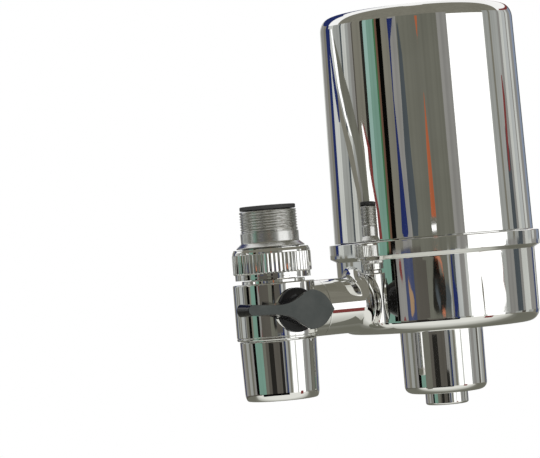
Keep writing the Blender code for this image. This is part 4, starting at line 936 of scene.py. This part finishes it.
# What the chrome mirrors is painted in a few plain colours, as a screen shows them; the last value is how
# much the tone varies in upright streaks
paints = {
    "white": (255, 255, 255, 0.0), "silver": (190, 192, 188, 0.12), "pearl": (172, 175, 174, 0.12),
    "fog": (150, 152, 149, 0.12), "grey": (134, 133, 130, 0.12), "taupe": (118, 116, 106, 0.10),
    "greige": (104, 104, 95, 0.10), "umber": (84, 81, 75, 0.10), "iron": (72, 78, 82, 0.10),
    "coal": (36, 35, 32, 0.05), "black": (7, 7, 6, 0.0), "navy": (34, 44, 92, 0.10),
    "denim": (66, 74, 104, 0.10), "steel": (128, 138, 156, 0.15), "turquoise": (112, 145, 132, 0.08),
    "mint": (140, 170, 162, 0.06), "pine": (62, 104, 72, 0.0), "rust": (102, 78, 64, 0.0),
    "orange": (164, 92, 62, 0.10), "salmon": (208, 126, 92, 0.10), "maroon": (118, 58, 56, 0.10),
    "tan": (152, 126, 98, 0.10),
}
whitest, paint = 1.35, 1.12


def makePaint(name, red, green, blue, streak):
    strength = whitest if name == "white" else paint
    return emissionFinish(name + "Paint", seen(red, green, blue), strength, streak)


painted = {name: makePaint(name, *tone) for name, tone in paints.items()}

# Three tiers of an upright round wall. A strip runs from the end of the one before it to the azimuth that
# it names; low and high are the tier's heights in metres.
tiers = {
    "upper": {"low": -0.01, "high": 0.48, "strips": {
        -166: "silver", -150: "grey", -142: "taupe", -134: "navy", -122: "silver",
        -108: "fog", -105: "iron", -98: "silver", -93: "fog", -88: "grey", -86: "umber",
        -74: "taupe", -70: "coal", -65: "mint", -56: "turquoise", -54: "pine", -51.5: "rust",
        -46: "black", -37: "taupe", -27: "grey", 21: "greige", 33: "grey", 82: "white",
        91: "fog", 94: "taupe", 107: "fog", 112: "grey", 118: "silver", 126: "pearl",
        129: "grey", 135: "silver", 145: "grey", 156: "steel", 166: "iron", 175: "taupe"}},
    "middle": {"low": -0.11, "high": -0.01, "strips": {
        -168: "grey", -148: "taupe", -141: "denim", -132: "fog", -127: "greige", -121: "fog",
        -115: "taupe", -100: "pearl", -97: "iron", -93: "grey", -84: "greige", -75: "black",
        -70: "taupe", -56.5: "turquoise", -49.5: "black", -40: "grey", -18: "umber",
        10: "greige", 12: "fog", 13.6: "taupe", 18.5: "iron", 24: "pearl",
        30: "grey", 33: "silver", 79: "white", 82: "pearl", 97: "grey", 107: "iron",
        112: "grey", 126: "silver", 142: "grey", 150: "denim", 157: "silver", 175: "taupe"}},
    "lower": {"low": -0.42, "high": -0.11, "strips": {
        -167: "grey", -152: "taupe", -144: "navy", -126: "grey", -114: "taupe", -100: "fog",
        -92: "greige", -84: "grey", -74: "black", -70: "turquoise", -50: "turquoise",
        -40: "greige", 4: "umber", 13: "grey", 19: "iron", 26: "fog", 32: "taupe",
        35: "silver", 76: "white", 82: "fog", 92: "grey", 104: "fog", 112: "umber",
        119: "silver", 132: "fog", 142: "taupe", 153: "denim", 175: "fog"}},
}
wallStart = -185


def makeTier(tier, size):
    start, heights = wallStart, np.array([[size["low"]], [size["high"]]])
    for index, (end, colour) in enumerate(size["strips"].items()):
        strip = aroundObject(np.linspace(start, end, 13), studio["cardRadius"], heights)
        makeCard(f"{tier}Strip{index}", strip, painted[colour])
        start = end


for tier, size in tiers.items():
    makeTier(tier, size)

# Shapes in front of the wall: paint, how far in front in metres, and rows of a height and the azimuths of
# the two edges
ribbons = {
    "streakBlue": ("navy", 0.06, [
        (0.315, -38.5, -29.0), (0.29, -37.5, -30.5), (0.265, -37.0, -35.0), (0.20, -37.0, -36.0),
        (0.15, -37.2, -34.6), (0.11, -37.6, -33.2), (0.07, -38.5, -32.0), (0.05, -39.0, -31.5),
        (0.042, -36.5, -33.5)]),
    "shade": ("iron", 0.05, [
        (0.285, -26, -24.5), (0.25, -26, -22), (0.14, -28, -21), (0.07, -27.5, -19), (0.045, -26, -20.5)]),
    "streakOrange": ("orange", 0.05, [
        (0.205, -0.9, -0.5), (0.18, -1.5, 0.0), (0.14, -2.8, 0.9), (0.10, -3.2, 1.3), (0.066, -3.6, 1.6)]),
    "topOrange": ("orange", 0.05, [(0.315, -5.0, -1.0), (0.29, -4.2, -1.3), (0.268, -3.0, -2.4)]),
    "lintel": ("taupe", 0.04, [(0.297, 33, 82), (0.48, 33, 82)]),
    "spark": ("white", 0.07, [(0.057, -4.6, 1.2), (0.050, -4.2, 0.8)]),
    "rightRed": ("maroon", 0.05, [
        (0.195, 104.5, 106), (0.17, 104, 108), (0.13, 102.5, 106.5), (0.09, 102, 105)]),
    "rightDark": ("iron", 0.04, [(0.14, 102, 104), (0.11, 101, 107.5), (-0.01, 100, 107.5)]),
    "bendInner": ("greige", 0.06, [
        (0.255, -121, -120), (0.22, -117, -106), (0.20, -113, -98), (0.17, -104, -90), (0.14, -95, -83),
        (0.10, -89, -80), (0.07, -85, -78), (0.03, -83, -78)]),
    "bendOuter": ("taupe", 0.05, [
        (0.21, -132, -127), (0.17, -121, -112), (0.14, -111, -100), (0.09, -98, -91), (0.05, -92, -88)]),
    "gleamLeft": ("white", 0.07, [
        (0.265, -127, -125), (0.23, -123.5, -118), (0.20, -119, -114.5), (0.17, -109.5, -106),
        (0.15, -101, -99)]),
    "gleamRight": ("white", 0.08, [
        (0.165, -82, -80), (0.14, -80, -75.5), (0.12, -79.5, -75.5), (0.10, -79, -73), (0.07, -78, -69),
        (0.035, -76, -68)]),
    "gleamRed": ("maroon", 0.09, [
        (0.165, -80, -78.5), (0.14, -75.5, -72), (0.10, -73, -69.5), (0.07, -69, -65.5),
        (0.035, -68, -64)]),
    "lineBlue": ("navy", 0.07, [
        (0.285, -134, -129), (0.24, -135, -131), (0.19, -128.5, -121.5), (0.16, -123, -120)]),
    "lowBlue": ("denim", 0.06, [(-0.012, -40, -29.4), (-0.11, -40, -29.4)]),
    "lowTan": ("tan", 0.08, [
        (-0.043, -36.6, -36.0), (-0.056, -36.7, -32.5), (-0.068, -36.2, -31.2), (-0.076, -36.2, -32.0),
        (-0.083, -35.6, -34.6)]),
    "lowRust": ("maroon", 0.08, [
        (-0.018, -45.7, -43.1), (-0.032, -46.2, -43.2), (-0.040, -45.5, -42.7), (-0.046, -44.5, -43)]),
    "footRust": ("maroon", 0.08, [(-0.083, -44.7, -43.5), (-0.093, -46, -42)]),
    "blot": ("black", 0.08, [
        (-0.018, -5.0, -1.0), (-0.030, -6.8, -0.5), (-0.041, -7.6, 1.0), (-0.046, -8.0, 1.5)]),
    "blotLow": ("coal", 0.08, [
        (-0.040, -7.8, 5.0), (-0.058, -9.0, 5.8), (-0.070, -9.8, 5.2), (-0.079, -9.6, 4.0),
        (-0.084, -7.0, 0.0)]),
    "blotPale": ("iron", 0.09, [
        (-0.052, -6.5, -4.0), (-0.066, -5.2, -1.0), (-0.075, -4.0, -1.5), (-0.080, -3.2, -2.4)]),
    "blotSteel": ("iron", 0.10, [(-0.050, 6.0, 9.0), (-0.065, 5.3, 11.2), (-0.080, 4.0, 10.0)]),
    "blotCap": ("salmon", 0.10, [
        (-0.015, -5.5, -1.0), (-0.019, -3.6, 1.4), (-0.023, -0.2, 2.8), (-0.027, 2.2, 3.4),
        (-0.034, 3.6, 4.0), (-0.042, 4.2, 4.5)]),
    "blotFoot": ("salmon", 0.10, [(-0.080, 0.5, 3.0), (-0.084, -1.0, 3.2)]),
    "blotBall": ("iron", 0.10, [(-0.088, -1, 4), (-0.092, -2, 6), (-0.097, -1, 5)]),
    "nearBlue": ("navy", 0.08, [
        (-0.015, 14.2, 15.2), (-0.045, 14.0, 16.0), (-0.06, 13.8, 18.3), (-0.075, 13.8, 18.3),
        (-0.087, 13.5, 15.5), (-0.090, 8.0, 18.6), (-0.096, 7.0, 18.6)]),
    "windowBar": ("taupe", 0.05, [
        (-0.043, 47.6, 48.2), (-0.06, 47.6, 49.6), (-0.085, 48.4, 49.6), (-0.092, 49.2, 49.6)]),
    "windowBarLow": ("silver", 0.05, [(-0.11, 47.5, 51.5), (-0.42, 47.5, 52.5)]),
    "deepDark": ("coal", 0.06, [(-0.12, -31, -17), (-0.30, -30, -15.5)]),
    "deepInk": ("coal", 0.07, [(-0.16, 1.5, 9.5), (-0.30, 1.5, 10.5)]),
    "deepBlue": ("navy", 0.07, [(-0.12, 16.5, 19.0), (-0.30, 16.5, 19.8)]),
    "jambWave": ("fog", 0.06, [
        (-0.020, 76.5, 84), (-0.035, 78.4, 84), (-0.050, 76.6, 84), (-0.062, 78.8, 84), (-0.074, 80.2, 84),
        (-0.084, 75.0, 84), (-0.088, 72.0, 84)]),
    "jambRed": ("maroon", 0.07, [
        (-0.030, 77.6, 78.2), (-0.045, 77.2, 77.8), (-0.052, 76.6, 77.4), (-0.064, 78.6, 79.2)]),
}


def ribbonPoints(rows, radius):
    # the rows joined by straight edges, with six levels between two rows and eight faces across
    rows = np.array(rows)
    place = np.linspace(0, len(rows) - 1, 6 * (len(rows) - 1) + 1)
    height, left, right = (np.interp(place, np.arange(len(rows)), column)[:, None] for column in rows.T)
    return aroundObject(left + (right - left) * np.linspace(0, 1, 9), radius, height)


for name, (colour, nearer, rows) in ribbons.items():
    makeCard(name + "Ribbon", ribbonPoints(rows, studio["cardRadius"] - nearer), painted[colour])

# Parts of a sphere round the object: from and to in degrees round, low and high in degrees up, radius
# in metres and paint
domes = {
    "ceiling": (-112, 112, 15.0, 84.0, 2.2, "taupe"),
    "blueBehind": (-180, -136, 15.0, 42.0, 2.1, "navy"),
    "redBehind": (118, 178, 15.0, 20.0, 2.1, "maroon"),
    "skirtingDark": (-62, 20, -20.8, -12.4, 0.9, "black"),
    "skirtingLeft": (-180, -66, -13.5, -10.5, 1.3, "umber"),
    "skirtingRight": (84, 175, -13.5, -10.5, 1.3, "taupe"),
    "redSill": (52, 62, -28.0, -16.5, 0.33, "maroon"),
}


def domePoints(fromDeg, toDeg, lowDeg, highDeg, radius):
    rise = np.radians(np.linspace(lowDeg, highDeg, 17))[:, None]
    return aroundObject(np.linspace(fromDeg, toDeg, 49), radius * np.cos(rise), radius * np.sin(rise))


for name, (*span, colour) in domes.items():
    makeCard(name + "Dome", domePoints(*span), painted[colour])

# Small upright cards near the object, each edge-on to its neighbours: two ends in plan, low, high and
# paint. They paint shade into the reflections: the first two darken the valve's front, the third the
# outlet housing's left.
shadeScreens = {
    "left": ((-0.030, -0.0322), (-0.118, -0.0445), -0.0430, -0.0160, "umber"),
    "front": ((-0.052, -0.097), (-0.025, -0.107), -0.0400, -0.0155, "umber"),
    "outlet": ((0.035, -0.0085), (0.035, -0.0178), -0.0780, -0.0425, "greige"),
}


def makeShadeScreen(name, start, end, low, high, colour):
    # a flat card seen only in reflections, where it paints shade
    points = np.array([[[*place, level] for place in (start, end)] for level in (low, high)])
    makeCard(name + "Screen", points, painted[colour])


for name, place in shadeScreens.items():
    makeShadeScreen(name, *place)
print("surroundings done")

# The floor is pale and takes the shadow near the object; far out it turns plain white. In reflections it
# glows with painted light and shade: its tone falls with the distance away from the camera, lighter in front
# as if lit and darker beneath and behind as if shaded, in steps of a place in metres and a tone.
ground = {"pale": (0.86, 0.86, 0.85, 1), "away": (0.470, 0.883, 0.0), "from": -0.60, "to": 0.20,
          "litAndShadedTones": [(-0.26, seen(232, 232, 226)), (-0.14, seen(208, 209, 203)), (-0.05, seen(188, 188, 180)),
                    (0.03, seen(132, 132, 124)), (0.16, seen(112, 112, 102))]}


def makeFloor(size, look):
    turn = np.arange(size["floorSides"]) * fullTurn / size["floorSides"]
    ring = np.stack([size["floorRadius"] * np.cos(turn), size["floorRadius"] * np.sin(turn),
                     np.full_like(turn, size["floorZ"])], 1)
    mesh = bpy.data.meshes.new("floor")
    mesh.from_pydata(ring.tolist(), [], [list(range(size["floorSides"]))])
    floor = addObject("floor", mesh)
    made, tree = newFinish("floorPale")
    feedShader(tree, {"Base Color": look["pale"], "Roughness": 0.9, "Specular IOR Level": 0.1})
    place = addNode(tree, "ShaderNodeTexCoord", "Object")
    distance = addNode(tree, "ShaderNodeVectorMath", "Value", {0: place}, operation="LENGTH")
    faded = addNode(tree, "ShaderNodeMixShader", "Shader", {
        "Fac": spread(tree, distance, 0, 1, size["paleFrom"], size["paleTo"]),
        1: tree.nodes["Principled BSDF"].outputs["BSDF"],
        2: addNode(tree, "ShaderNodeEmission", "Emission")})
    # painted light and shade for reflections: a glowing tone, lighter in front as if lit, darker away as if
    # shaded
    away = addNode(tree, "ShaderNodeVectorMath", "Value", {0: place, 1: look["away"]},
                   operation="DOT_PRODUCT")
    ramp = addNode(tree, "ShaderNodeValToRGB", "Color", {
        "Fac": spread(tree, away, 0, 1, look["from"], look["to"])})
    stops = ramp.node.color_ramp.elements
    for index, (metres, tone) in enumerate(look["litAndShadedTones"]):
        stop = stops[index] if index < 2 else stops.new(1.0)
        stop.position = (metres - look["from"]) / (look["to"] - look["from"])
        stop.color = tone
    reflected = addNode(tree, "ShaderNodeMixShader", "Shader", {
        "Fac": addNode(tree, "ShaderNodeLightPath", "Is Glossy Ray"),
        1: faded,
        2: addNode(tree, "ShaderNodeEmission", "Emission", {"Color": ramp})})
    feed(tree, tree.nodes["Material Output"], {"Surface": reflected})
    mesh.materials.append(made)


makeFloor(studio, ground)


def makeWorld(size):
    # white for the camera and for reflections, a softer fill for everything else
    world = bpy.data.worlds.new("studioWorld")
    bpy.context.scene.world = world
    world.use_nodes = True
    tree = world.node_tree
    total = addNode(tree, "ShaderNodeLightPath", "Is Camera Ray")
    rays = total.node.outputs
    for ray in ("Is Glossy Ray", "Is Transmission Ray"):
        total = added(tree, total, rays[ray])
    strength = spread(tree, total, size["worldFill"], 1.0, 0.0, 1.0)
    feed(tree, tree.nodes["Background"], {"Color": (1, 1, 1, 1), "Strength": strength})


makeWorld(studio)

lamps = {
    "softLeft": {"place": (-0.9, -1.0, 0.9), "size": 0.9, "power": 14.0},
    "softRight": {"place": (0.9, -0.9, 0.7), "size": 0.8, "power": 9.0},
    "softTop": {"place": (0.05, 0.1, 1.3), "size": 1.0, "power": 12.0},
}


def makeLamp(name, lamp):
    data = bpy.data.lights.new(name, "AREA")
    data.size = lamp["size"]
    data.energy = lamp["power"]
    made = addObject(name, data)
    made.location = lamp["place"]
    made.rotation_euler = (-Vector(lamp["place"])).to_track_quat("-Z", "Y").to_euler()
    made.visible_glossy = False


for name, lamp in lamps.items():
    makeLamp(name, lamp)
bpy.context.scene.view_settings.view_transform = "Standard"
print("studio done")
